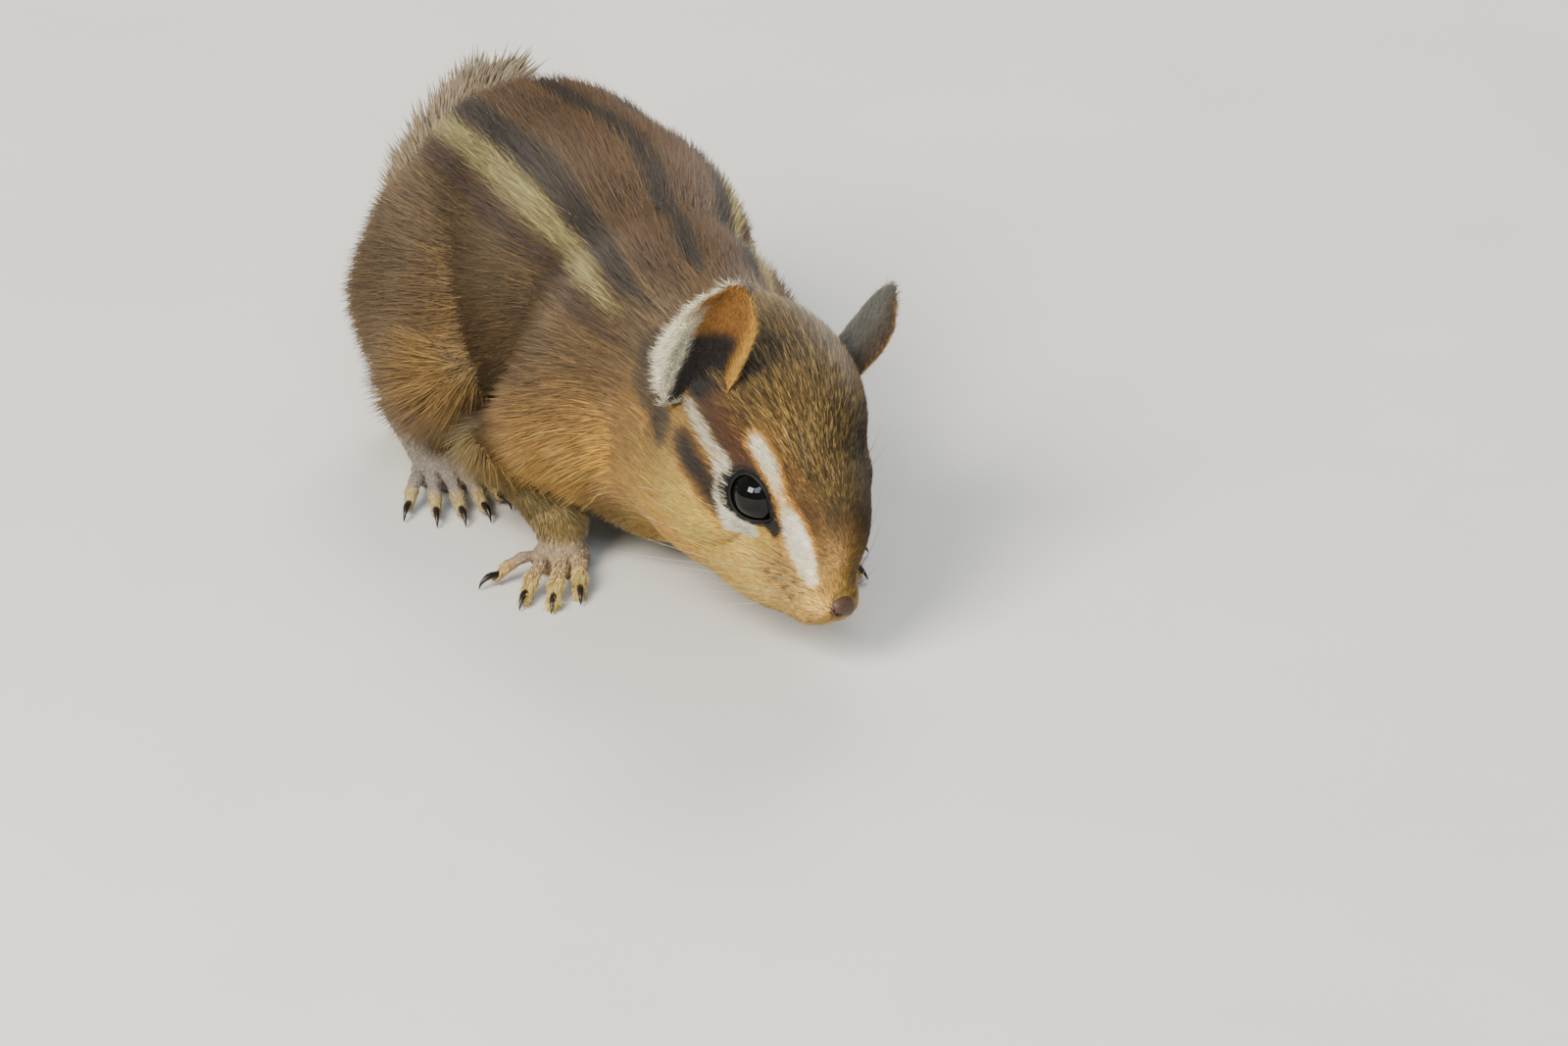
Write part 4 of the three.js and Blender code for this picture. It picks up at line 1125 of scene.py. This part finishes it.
def skin_samples(weights_of, count, random):
    """Random places on the skin, weighted per face: position, normal and unwrap place."""
    mesh = bpy.data.objects["skin"].data
    mesh.calc_loop_triangles()
    verts = read(mesh.loop_triangles, "vertices", 3, np.int32)
    loops = read(mesh.loop_triangles, "loops", 3, np.int32)
    places = read(mesh.vertices, "co", 3) / MM - SHIFT
    normals = read(mesh.vertices, "normal", 3)
    uv = read(mesh.uv_layers[0].data, "uv", 2)
    corner = places[verts]
    edges = corner[:, 1] - corner[:, 0], corner[:, 2] - corner[:, 0]
    area = np.linalg.norm(np.cross(*edges), axis=1) / 2
    chance = area * weights_of(corner.mean(1), verts)
    if chance.sum() == 0:
        raise RuntimeError("no skin to grow a coat on")
    face = random.choice(len(verts), count, p=chance / chance.sum())
    a, b = random.random(count), random.random(count)
    over = a + b > 1
    a[over], b[over] = 1 - a[over], 1 - b[over]
    share = np.column_stack([1 - a - b, a, b])[..., None]
    point = (corner[face] * share).sum(1)
    normal = unit((normals[verts[face]] * share).sum(1))
    return point, normal, (uv[loops[face]] * share).sum(1), verts[face]


PATCH = 0.003  # width of a tuft's place on the unwrap
SECTION = ((-0.5, 0), (0.5, 0), (0, 0.45))  # of a tuft: across and up, in its widths


def tuft_mesh(name, root, normal, uv, way, length, width, lift, shades, mat, bent):
    """Three-sided spikes as one mesh, each with a bend half way along where bent is set.

    shades are the colours at root, middle and tip.
    """
    along = unit(way - normal * (way * normal).sum(1)[:, None])
    across = np.cross(along, normal)
    length, width, lift = length[:, None], width[:, None], lift[:, None]
    rise = np.sin(lift)
    rings = [(root - normal * 0.25 * width, 1.0)]
    if bent:
        middle = root + length * 0.5 * (along * np.cos(lift) + normal * rise)
        rings.append((middle, 0.8))
    tip = root + length * (along * np.cos(lift * 0.7) + normal * rise * 0.78)
    sides = [
        place + (across * s + normal * h) * width * narrow
        for place, narrow in rings
        for s, h in SECTION
    ]
    verts = np.stack([*sides, tip], axis=1)
    verts[..., 2] = np.maximum(verts[..., 2], HAIR_LOWEST)
    each = verts.shape[1]
    base = (np.arange(len(root)) * each)[:, None, None]
    last = each - 4
    faces = [(np.array([[0, 3, 1], [1, 3, 2], [2, 3, 0]]) + last + base).reshape(-1, 3)]
    if bent:
        faces.insert(0, (np.array([[0, 3, 4, 1], [1, 4, 5, 2], [2, 5, 3, 0]]) + base).reshape(-1, 4))
    made = new_mesh(name, place_in_metres(verts.reshape(-1, 3)), faces, mat)
    rows = [shades[0]] * 3 + ([shades[1]] * 3 if bent else []) + [shades[2]]
    paint(made, np.stack(rows, axis=1).reshape(-1, 3))
    layer = made.data.uv_layers.new(name="OFBake")
    loops = read(made.data.loops, "vertex_index", 1, np.int32)[:, 0]
    spot = [(s, h - 0.5) for s, h in SECTION] + (list(SECTION) if bent else []) + [(0, 0.5)]
    patches = uv[loops // each] + np.array(spot)[loops % each] * PATCH
    layer.data.foreach_set("uv", patches.astype(np.float32).ravel())
    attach(made, "root")
    return made


def hair_shades(tone, random, spread, tip_gain=1.25):
    """Root, middle and tip colours: dark roots, partly the hair's real slate base and partly painted
    shade deep in the coat, the marking's colour, then a paler tip.
    """
    vary = np.exp(random.normal(0, spread, len(tone)))[:, None]
    tone = tone * vary
    # Painted shade in the coat's depth darkens the root, with a quarter of the real slate
    root = mix(tone * 0.5, colour("slate") * 0.5, 0.25)
    return root, tone * 0.9, np.minimum(tone * tip_gain, 0.95)


BENT_PIECE, STRAIGHT_PIECE = 21500, 64000  # tufts in one piece
TUFT_SHARE = {"head": 1.15, "body": 1.4, "feet": 0.11, "ears": 0.16, "tail": 0.105}


def coat_pieces(name, weights_of, random, roughness, grow, bent=False):
    """Grows a part's tufts in pieces that stay under 200,000 triangles each.

    grow gives each tuft's way, length, width and lift, and the colours at root, middle and tip.
    """
    count = int(sizes().tufts * TUFT_SHARE[name])
    mat = hair_material(f"hair_{name}", roughness, 0.9)
    pieces = max(1, math.ceil(count / (BENT_PIECE if bent else STRAIGHT_PIECE)))
    for i in range(pieces):
        point, normal, uv, corners = skin_samples(weights_of, count // pieces, random)
        grown = grow(point, normal, corners)
        made = tuft_mesh(f"coat_{name}_{i + 1}", point, normal, uv, *grown, mat, bent)


EAR_VERTS = 2 * (EAR_ROWS * EAR_COLUMNS * 2 + 2)


def behind_palm(points):
    """How far behind the middle of the nearest foot each point is."""
    places = list(foot_places())
    nearest = np.argmin([gap(points, middle) for _, middle, *_ in places], axis=0)
    behind = [
        -((points - middle) @ (math.sin(heading), -math.cos(heading), 0))
        for _, middle, heading, *_ in places
    ]
    return np.array(behind)[nearest, np.arange(len(points))]


def is_ear(verts):
    return verts[:, 0] >= len(bpy.data.objects["skin"].data.vertices) - EAR_VERTS


def head_share(points):
    local = to_head(points)
    return smoothstep(27, 18, local[:, 1] + 0.2 * np.abs(local[:, 2])) * (points[:, 1] < HEAD_BACK)


class CHIPMUNK_OT_coat_head(bpy.types.Operator):
    """Very short, close coat of the head, longer towards the nape and cheeks"""

    bl_idname = "chipmunk.coat_head"
    bl_label = "Head coat"

    def execute(self, context):
        random = np.random.default_rng(sizes().seed)

        def weights(middle, verts):
            local = to_head(middle)
            keep = (eye_gap(middle) > LID_EDGE) & (gap(local, NOSE_PLACE) > 1.7)
            keep &= (EAR_PIT(folded(local, 1)) > 0.5) & ~is_ear(verts)
            dense = mix(2.6, 1.0, smoothstep(-14, 20, local[:, 1]))
            return head_share(middle) * keep * dense

        def grow(point, normal, corners):
            n = len(point)
            length = coat_length(point) * random.uniform(0.75, 1.2, n)
            length *= mix(0.45, 1.0, smoothstep(LID_EDGE, 6.5, eye_gap(point)))
            way = lie_of(point) + random.normal(0, 0.1, (n, 3))
            lift = np.radians(mix(15, 21, smoothstep(-10, 22, to_head(point)[:, 1])))
            lift = lift * random.uniform(0.7, 1.4, n)
            tone = coat_tone(point + random.normal(0, 0.12, (n, 3)), way, length)
            draw = random.random(n)
            local = to_head(point)
            crown = smoothstep(2, 6, local[:, 2]) * smoothstep(-12, -6, local[:, 1])
            tone = tint(tone, "tick", crown * (draw < 0.34) * 0.5)
            tone = tint(tone, "dark", crown * (draw > 0.8) * 0.6)
            shades = hair_shades(tone, random, 0.34, 1.4)
            width = 0.15 + 0.045 * length
            return way, length, width, lift, shades

        coat_pieces("head", weights, random, 0.55, grow)
        return {"FINISHED"}


class CHIPMUNK_OT_coat_body(bpy.types.Operator):
    """Dense coat of the neck, trunk and legs"""

    bl_idname = "chipmunk.coat_body"
    bl_label = "Body coat"

    def execute(self, context):
        random = np.random.default_rng(sizes().seed + 1)

        def weights(middle, verts):
            body = (1 - head_share(middle)) * ~is_ear(verts) * (middle[:, 1] < 56)
            dense = mix(1.0, 1.9, smoothstep(14, 6, middle[:, 2]))
            seen = mix(0.45, 1.0, smoothstep(3.0, 9.0, middle[:, 2]))
            return body * dense * seen * (middle[:, 2] > 5.2)

        def grow(point, normal, corners):
            n = len(point)
            length = coat_length(point) * random.uniform(0.7, 1.2, n)
            way = lie_of(point) + random.normal(0, 0.13, (n, 3))
            lift = np.radians(18) * random.uniform(0.5, 1.35, n)
            tone = coat_tone(point + random.normal(0, 0.35, (n, 3)), way, length)
            limb = smoothstep(17, 10, point[:, 2])
            tone = tint(tone, "dark", limb * (random.random(n) > 0.7) * 0.45)
            shades = hair_shades(tone, random, 0.32, 1.4)
            width = 0.12 + 0.02 * length
            return way, length, width, lift, shades

        coat_pieces("body", weights, random, 0.6, grow)
        return {"FINISHED"}


class CHIPMUNK_OT_coat_feet(bpy.types.Operator):
    """Sparse, very short coat of the feet"""

    bl_idname = "chipmunk.coat_feet"
    bl_label = "Foot coat"

    def execute(self, context):
        random = np.random.default_rng(sizes().seed + 2)

        def weights(middle, verts):
            return (middle[:, 2] <= 5.6) * (middle[:, 2] > 0.7) * ~is_ear(verts) * (middle[:, 1] < 40)

        def grow(point, normal, corners):
            n = len(point)
            length = sizes().coat_paw / MM * random.uniform(0.6, 1.15, n)
            way = lie_of(point) + random.normal(0, 0.15, (n, 3))
            lift = np.radians(16) * random.uniform(0.5, 1.5, n)
            tone = tint(markings(point), "white", (random.random(n) < 0.35) * 0.5)
            shades = hair_shades(tone, random, 0.25, 1.2)
            length = length * mix(0.55, 1.0, smoothstep(2.0, 5.0, behind_palm(point)))
            width = 0.09 + 0.03 * length
            return way, length, width, lift, shades

        coat_pieces("feet", weights, random, 0.6, grow)
        return {"FINISHED"}


class CHIPMUNK_OT_coat_ears(bpy.types.Operator):
    """Fine hair on both faces of the ears and along their rims"""

    bl_idname = "chipmunk.coat_ears"
    bl_label = "Ear coat"

    def execute(self, context):
        random = np.random.default_rng(sizes().seed + 3)
        layer = bpy.data.objects["skin"].data.color_attributes["Markings"]
        rgba = read(layer.data, "color", 4, np.float32)[:, :3]

        def weights(middle, verts):
            clear = in_chunks(body_field, middle) > -0.5
            return is_ear(verts) * clear * 1.0

        def grow(point, normal, corners):
            n = len(point)
            tone = rgba[corners].mean(1) / EAR_UNDERFUR_AND_SHADE
            pale = smoothstep(0.25, 0.5, tone[:, 2])
            length = random.uniform(0.7, 1.5, n) * mix(1.0, 1.8, pale)
            upward = np.tile(HEAD_TURN @ np.array([0, 0.15, 1.0]), (n, 1))
            out = np.sign(to_head(point)[:, :1])
            rearward = (np.array([0.5, 1.0, -0.5]) * np.hstack([out, np.ones((n, 2))])) @ HEAD_TURN.T
            way = mix(upward, rearward, pale[:, None] * 0.8) + random.normal(0, 0.25, (n, 3))
            lift = np.radians(mix(13, 24, pale)) * random.uniform(0.5, 1.6, n)
            shades = hair_shades(tone, random, 0.24, 1.25)
            width = 0.1 + 0.015 * length
            return way, length, width, lift, shades

        coat_pieces("ears", weights, random, 0.55, grow)
        return {"FINISHED"}


class CHIPMUNK_OT_coat_tail(bpy.types.Operator):
    """Long hair of the tail, widest to the sides, banded dark with pale tips"""

    bl_idname = "chipmunk.coat_tail"
    bl_label = "Tail coat"

    def execute(self, context):
        random = np.random.default_rng(sizes().seed + 4)

        def weights(middle, verts):
            return smoothstep(49, 54, middle[:, 1]) * ~is_ear(verts)

        def grow(point, normal, corners):
            n = len(point)
            share, along, _ = tail_place(point)
            sideways = np.abs(normal[:, 0])
            full = mix(0.5, 1.0, smoothstep(0.05, 0.3, share)) * mix(1, 0.8, smoothstep(0.6, 1, share))
            length = sizes().coat_tail / MM * mix(0.62, 1.0, sideways) * full
            length *= random.uniform(0.6, 1.12, n)
            lift = np.radians(mix(14, 42, sideways)) * random.uniform(0.75, 1.2, n)
            way = along + random.normal(0, 0.07, (n, 3))
            tone = markings(point) * np.exp(random.normal(0, 0.18, n))[:, None]
            # Darker roots: partly the hair's real base, partly painted shade deep in the tail's hair
            root = tone * 0.6
            banded = np.tile(colour("tail_dark"), (n, 1)) * random.uniform(0.8, 1.6, n)[:, None]
            tip = np.tile(colour("tail_tip"), (n, 1)) * random.uniform(0.6, 1.1, n)[:, None]
            red = random.random(n) < 0.4
            banded[red] = tone[red]
            past_root = smoothstep(0.04, 0.3, share)[:, None]
            banded, tip = mix(tone, banded, past_root), mix(tone * 1.2, tip, past_root)
            width = 0.2 + 0.03 * length
            return way, length, width, lift, (root, banded, tip)

        coat_pieces("tail", weights, random, 0.6, grow, bent=True)
        return {"FINISHED"}


class CHIPMUNK_OT_eyes(bpy.types.Operator):
    """Eyeballs and the bare dark rims of their lids"""

    bl_idname = "chipmunk.eyes"
    bl_label = "Eyes"

    RINGS, SEGMENTS, LID_POINTS = 40, 64, 61

    def execute(self, context):
        glass = eye_material()
        rim_skin = bare_material("lid_skin", "lid", 0.6, 0.5)
        rims = []
        for side in SIDES:
            name = "left" if side > 0 else "right"
            centre = eye_centre(side)
            rings, segments = self.RINGS, self.SEGMENTS
            theta = np.linspace(0, math.pi, rings)[1:-1, None]
            phi = np.linspace(0, 2 * math.pi, segments, endpoint=False)[None]
            ball = np.stack(
                [np.sin(theta) * np.cos(phi), np.sin(theta) * np.sin(phi), np.cos(theta) + 0 * phi], -1
            )
            axis, long_axis, short_axis = eye_axes(side)
            bulge = 1 + 0.05 * smoothstep(0.75, 1.0, ball @ axis)
            ball = ball * bulge[..., None] * EYE_RADIUS
            verts = np.vstack([ball.reshape(-1, 3), (0, 0, EYE_RADIUS), (0, 0, -EYE_RADIUS)]) + centre
            quads = ring_quads(rings - 2, segments)[:, [0, 3, 2, 1]]
            top = fan(0, segments, len(verts) - 2)
            low = fan((rings - 3) * segments, segments, len(verts) - 1)[:, [1, 0, 2]]
            faces = [quads, np.vstack([top, low])]
            eye = new_mesh(f"eyeball_{name}", place_in_metres(verts), faces, glass)
            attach(eye, "root")
            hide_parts(f"eye_{name}")

            angle = np.linspace(0, 2 * math.pi, self.LID_POINTS)
            a, b = lid_line(angle)
            away = np.hypot(a, b)
            out = np.cos(away)[:, None] * axis + (np.sin(away) / away)[:, None] * (
                a[:, None] * long_axis + b[:, None] * short_axis
            )
            line = centre + out * (EYE_RADIUS + 0.2)
            thick = 0.2 + 0.1 * np.abs(np.cos(angle)) ** 4
            rims.append(self.ring(line, out, thick))
        verts, quads, _ = joined(rims)
        lids = new_mesh("lids", place_in_metres(verts), quads, rim_skin)
        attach(lids, "root")
        return {"FINISHED"}

    @staticmethod
    def ring(line, out, thick, sides=10):
        """A closed ring along line, with its section leaning along out."""
        line, out, thick = line[:-1], out[:-1], thick[:-1]
        side = np.cross(unit(np.roll(line, -1, 0) - np.roll(line, 1, 0)), out)
        angle = np.linspace(0, 2 * math.pi, sides, endpoint=False)
        verts = line[:, None] + thick[:, None, None] * (
            np.cos(angle)[None, :, None] * side[:, None] * 1.15
            + np.sin(angle)[None, :, None] * out[:, None] * 0.8
        )
        quads = ring_quads(len(line), sides, closed=True)[:, ::-1]
        return verts.reshape(-1, 3), quads, np.zeros((0, 3), int)


class CHIPMUNK_OT_nose(bpy.types.Operator):
    """Bare nose pad with its two comma-shaped nostrils"""

    bl_idname = "chipmunk.nose"
    bl_label = "Nose"

    REACH, CELL = 3, 0.16

    def execute(self, context):
        pad = ellipsoid(*NOSE_PLACE, 1.5, 1.45, 1.3)
        wings = [ellipsoid(s * 0.95, -15.9, -5.3, 0.75, 1.0, 0.9) for s in SIDES]
        holes = [ellipsoid(s * 0.98, -16.95, -5.35, 0.42, 0.7, 0.3, 20) for s in SIDES]
        slots = [cone((s * 1.1, -16.7, -5.3), (s * 1.75, -15.9, -5.0), 0.26, 0.14) for s in SIDES]
        cleft = cone((0, -17.5, -5.6), (0, -17.0, -7.0), 0.16, 0.2)
        whole = blend([pad, *wings], 0.3)

        def field(points):
            local = to_head(points)
            carved = np.min([f(local) for f in [*holes, *slots, cleft]], axis=0)
            return np.maximum(whole(local), -carved)

        middle = on_head(*NOSE_PLACE)
        points, quads = surface_net(field, middle - self.REACH, middle + self.REACH, self.CELL)
        skin = bare_material("nose_skin", "nose", 0.55, 0.22, 0.1)
        nose = new_mesh("nose_pad", place_in_metres(points), quads, skin)
        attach(nose, "root")
        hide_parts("nose")
        return {"FINISHED"}


def swept_tree():
    """Turns guide lines with a thickness into tapered round solids."""
    tree = bpy.data.node_groups.new("swept_guides", "GeometryNodeTree")
    face = tree.interface
    face.new_socket("Geometry", in_out="INPUT", socket_type="NodeSocketGeometry")
    face.new_socket("Scale", in_out="INPUT", socket_type="NodeSocketFloat").default_value = 1.0
    face.new_socket("Sides", in_out="INPUT", socket_type="NodeSocketInt").default_value = 6
    face.new_socket("Material", in_out="INPUT", socket_type="NodeSocketMaterial")
    face.new_socket("Geometry", in_out="OUTPUT", socket_type="NodeSocketGeometry")
    start = node(tree, "NodeGroupInput").outputs
    curve = node(tree, "GeometryNodeMeshToCurve", Mesh=start["Geometry"])
    thick = node(tree, "GeometryNodeInputNamedAttribute", {"data_type": "FLOAT", "Name": "thick"})
    radius = node(
        tree,
        "ShaderNodeMath",
        {"operation": "MULTIPLY"},
        _0=thick.outputs["Attribute"],
        _1=start["Scale"],
    )
    sized = node(tree, "GeometryNodeSetCurveRadius", Curve=curve.outputs[0], Radius=radius.outputs[0])
    profile = node(tree, "GeometryNodeCurvePrimitiveCircle", {"Radius": 1.0}, Resolution=start["Sides"])
    solid = node(
        tree,
        "GeometryNodeCurveToMesh",
        {"Fill Caps": True},
        Curve=sized.outputs[0],
        Profile_Curve=profile.outputs[0],
    )
    if "Scale" in solid.inputs:
        tree.links.new(radius.outputs[0], solid.inputs["Scale"])
    real = node(tree, "GeometryNodeRealizeInstances", Geometry=solid.outputs[0])
    done = node(
        tree, "GeometryNodeSetMaterial", Geometry=real.outputs[0], Material=start["Material"]
    )
    node(tree, "NodeGroupOutput", Geometry=done.outputs[0])
    return tree


def from_guides(name, lines, thicknesses, sides, mat):
    """A mesh of tapered round solids along guide lines, made by the swept tree."""
    mesh = bpy.data.meshes.new(name + "_guides")
    base, edges = 0, []
    for line in lines:
        edges += [(base + i, base + i + 1) for i in range(len(line) - 1)]
        base += len(line)
    mesh.from_pydata([tuple(p) for p in place_in_metres(np.vstack(lines))], edges, [])
    layer = mesh.attributes.new("thick", "FLOAT", "POINT")
    layer.data.foreach_set("value", (np.concatenate(thicknesses) * MM).astype(np.float32))
    guides = linked(name + "_guides", mesh)
    tree = bpy.data.node_groups.get("swept_guides") or swept_tree()
    modifier = guides.modifiers.new("swept", "NODES")
    modifier.node_group = tree
    sockets = {
        item.name: item.identifier
        for item in tree.interface.items_tree
        if item.in_out == "INPUT"
    }
    modifier[sockets["Scale"]] = 1.0
    modifier[sockets["Sides"]] = sides
    modifier[sockets["Material"]] = mat
    shape = bpy.data.meshes.new_from_object(
        guides.evaluated_get(bpy.context.evaluated_depsgraph_get())
    )
    shape.polygons.foreach_set("use_smooth", np.full(len(shape.polygons), True))
    bpy.data.objects.remove(guides)
    if not len(shape.polygons):
        raise RuntimeError(f"{name} came out empty")
    made = linked(name, shape)
    if not shape.materials:
        shape.materials.append(mat)
    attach(made, "root")
    return made


class CHIPMUNK_OT_whiskers(bpy.types.Operator):
    """Long fine whiskers from the pads of the muzzle, over the eyes and under the chin"""

    bl_idname = "chipmunk.whiskers"
    bl_label = "Whiskers"

    THICK, TAPER = 0.05, 0.85  # radius at the root in mm, and how much of it is lost at the tip
    ROWS, COLUMNS, POINTS = 4, 4, 12
    BROW, CHIN = 8.0, 4.5  # lengths of the shorter hairs

    def execute(self, context):
        random = np.random.default_rng(sizes().seed + 5)
        longest = sizes().whisker / MM
        lines, thick = [], []
        share = np.linspace(0, 1, self.POINTS)[:, None]
        for side in SIDES:
            for row in range(self.ROWS):
                for k in range(self.COLUMNS):
                    root = np.array([3.4 + 0.25 * k, -13.6 + 1.35 * k + 0.4 * row, -4.6 - 0.85 * row])
                    way = np.array([1.0, 0.25 + 0.2 * k, 0.2 - 0.3 * row])
                    length = longest * (0.4 + 0.18 * k) * random.uniform(0.8, 1.05)
                    self.hair(lines, thick, side, root, way, length, share, random)
            for root, way in (
                ((4.6, -3.6, 4.6), (0.5, 0.2, 1)),
                ((5.2, -2.2, 4.9), (0.6, 0.5, 1)),
                ((7.6, 4.0, -8.0), (1, 0.5, -0.5)),
            ):
                self.hair(lines, thick, side, np.array(root), np.array(way), self.BROW, share, random)
            for k in range(3):
                root = np.array([1.2 + 0.5 * k, -11.5 + 2.2 * k, -11.4])
                way = np.array([0.5, 0.2, -1.0])
                self.hair(lines, thick, side, root, way, self.CHIN, share, random)
        # Stiff keratin bristle, dark at the thick root and clear towards the tip
        mat, tree, shader = material("whisker_bristle", {"Roughness": 0.35})
        thickness = node(tree, "ShaderNodeAttribute", {"attribute_name": "thick"})
        rootward = node(
            tree,
            "ShaderNodeMapRange",
            {"From Min": 0.2 * self.THICK * MM, "From Max": 0.85 * self.THICK * MM},
            Value=thickness.outputs["Fac"],
        )
        fade = node(tree, "ShaderNodeMix", {"data_type": "RGBA"}, _0=rootward.outputs[0])
        fade.inputs[6].default_value = (*srgb("#cfc4a6"), 1)
        fade.inputs[7].default_value = (*srgb("#33271b"), 1)
        tree.links.new(fade.outputs[2], shader.inputs["Base Color"])
        made = from_guides("whiskers", lines, thick, 5, mat)
        return {"FINISHED"}

    @staticmethod
    def hair(lines, thick, side, root, way, length, share, random):
        """Adds one hair, bent back and down, on the given side of the head."""
        way = way / np.linalg.norm(way) + random.normal(0, 0.05, 3)
        bend = np.array([-0.1, 0.45, -0.25]) * random.uniform(0.6, 1.2)
        line = root + length * (share * way + 0.5 * share**2 * bend)
        line = line * (side, 1, 1) @ HEAD_TURN.T + EYES_AT
        line[:, 2] = np.maximum(line[:, 2], WHISKER_LOWEST)
        lines.append(line)
        whisker = CHIPMUNK_OT_whiskers
        thick.append(whisker.THICK * (1 - whisker.TAPER * share[:, 0]))


class CHIPMUNK_OT_claws(bpy.types.Operator):
    """Curved dark claws at the ends of the digits"""

    bl_idname = "chipmunk.claws"
    bl_label = "Claws"

    POINTS, RAISED = 10, 0.22  # points along a claw, and how far its root is raised
    THICK = ([0, 0.45, 1], [0.5, 0.42, 0.06])  # radius along a claw

    def execute(self, context):
        lines, thick = [], []
        for foot, middle, heading, side, _ in foot_places():
            for _, _, claw in digit_places(foot, middle, heading, side):
                line = smooth_path(np.array(claw), self.POINTS)
                share = np.linspace(0, 1, self.POINTS)
                line[:, 2] += self.RAISED * np.linspace(1, 0, self.POINTS)
                lines.append(line)
                thick.append(np.interp(share, *self.THICK))
        mat = bare_material("claw_horn", "claw", 0.3, 0.6, 0.2)
        made = from_guides("claws", lines, thick, 10, mat)
        return {"FINISHED"}


class CHIPMUNK_PT_panel(bpy.types.Panel):
    """Lists the model's pieces and settings"""

    bl_label = "Chipmunk"
    bl_space_type = "VIEW_3D"
    bl_region_type = "UI"
    bl_category = "Chipmunk"

    def draw(self, context):
        for operator in OPERATORS:
            self.layout.operator(operator.bl_idname)
        for group in (context.scene.chipmunk_sizes, context.scene.chipmunk_colours):
            column = self.layout.column()
            for name in group.bl_rna.properties.keys():
                if name not in ("rna_type", "name"):
                    column.prop(group, name)


OPERATORS = (
    CHIPMUNK_OT_stage,
    CHIPMUNK_OT_skin,
    CHIPMUNK_OT_eyes,
    CHIPMUNK_OT_nose,
    CHIPMUNK_OT_claws,
    CHIPMUNK_OT_whiskers,
    CHIPMUNK_OT_coat_head,
    CHIPMUNK_OT_coat_body,
    CHIPMUNK_OT_coat_feet,
    CHIPMUNK_OT_coat_ears,
    CHIPMUNK_OT_coat_tail,
)
CLASSES = (ChipmunkSizes, ChipmunkColours, *OPERATORS, CHIPMUNK_PT_panel)


def register():
    for made in CLASSES:
        bpy.utils.register_class(made)
    bpy.types.Scene.chipmunk_sizes = PointerProperty(type=ChipmunkSizes)
    bpy.types.Scene.chipmunk_colours = PointerProperty(type=ChipmunkColours)


def unregister():
    del bpy.types.Scene.chipmunk_colours
    del bpy.types.Scene.chipmunk_sizes
    for made in reversed(CLASSES):
        bpy.utils.unregister_class(made)


def main():
    register()
    for operator in OPERATORS:
        family, name = operator.bl_idname.split(".")
        getattr(getattr(bpy.ops, family), name)()


if __name__ == "__main__":
    main()
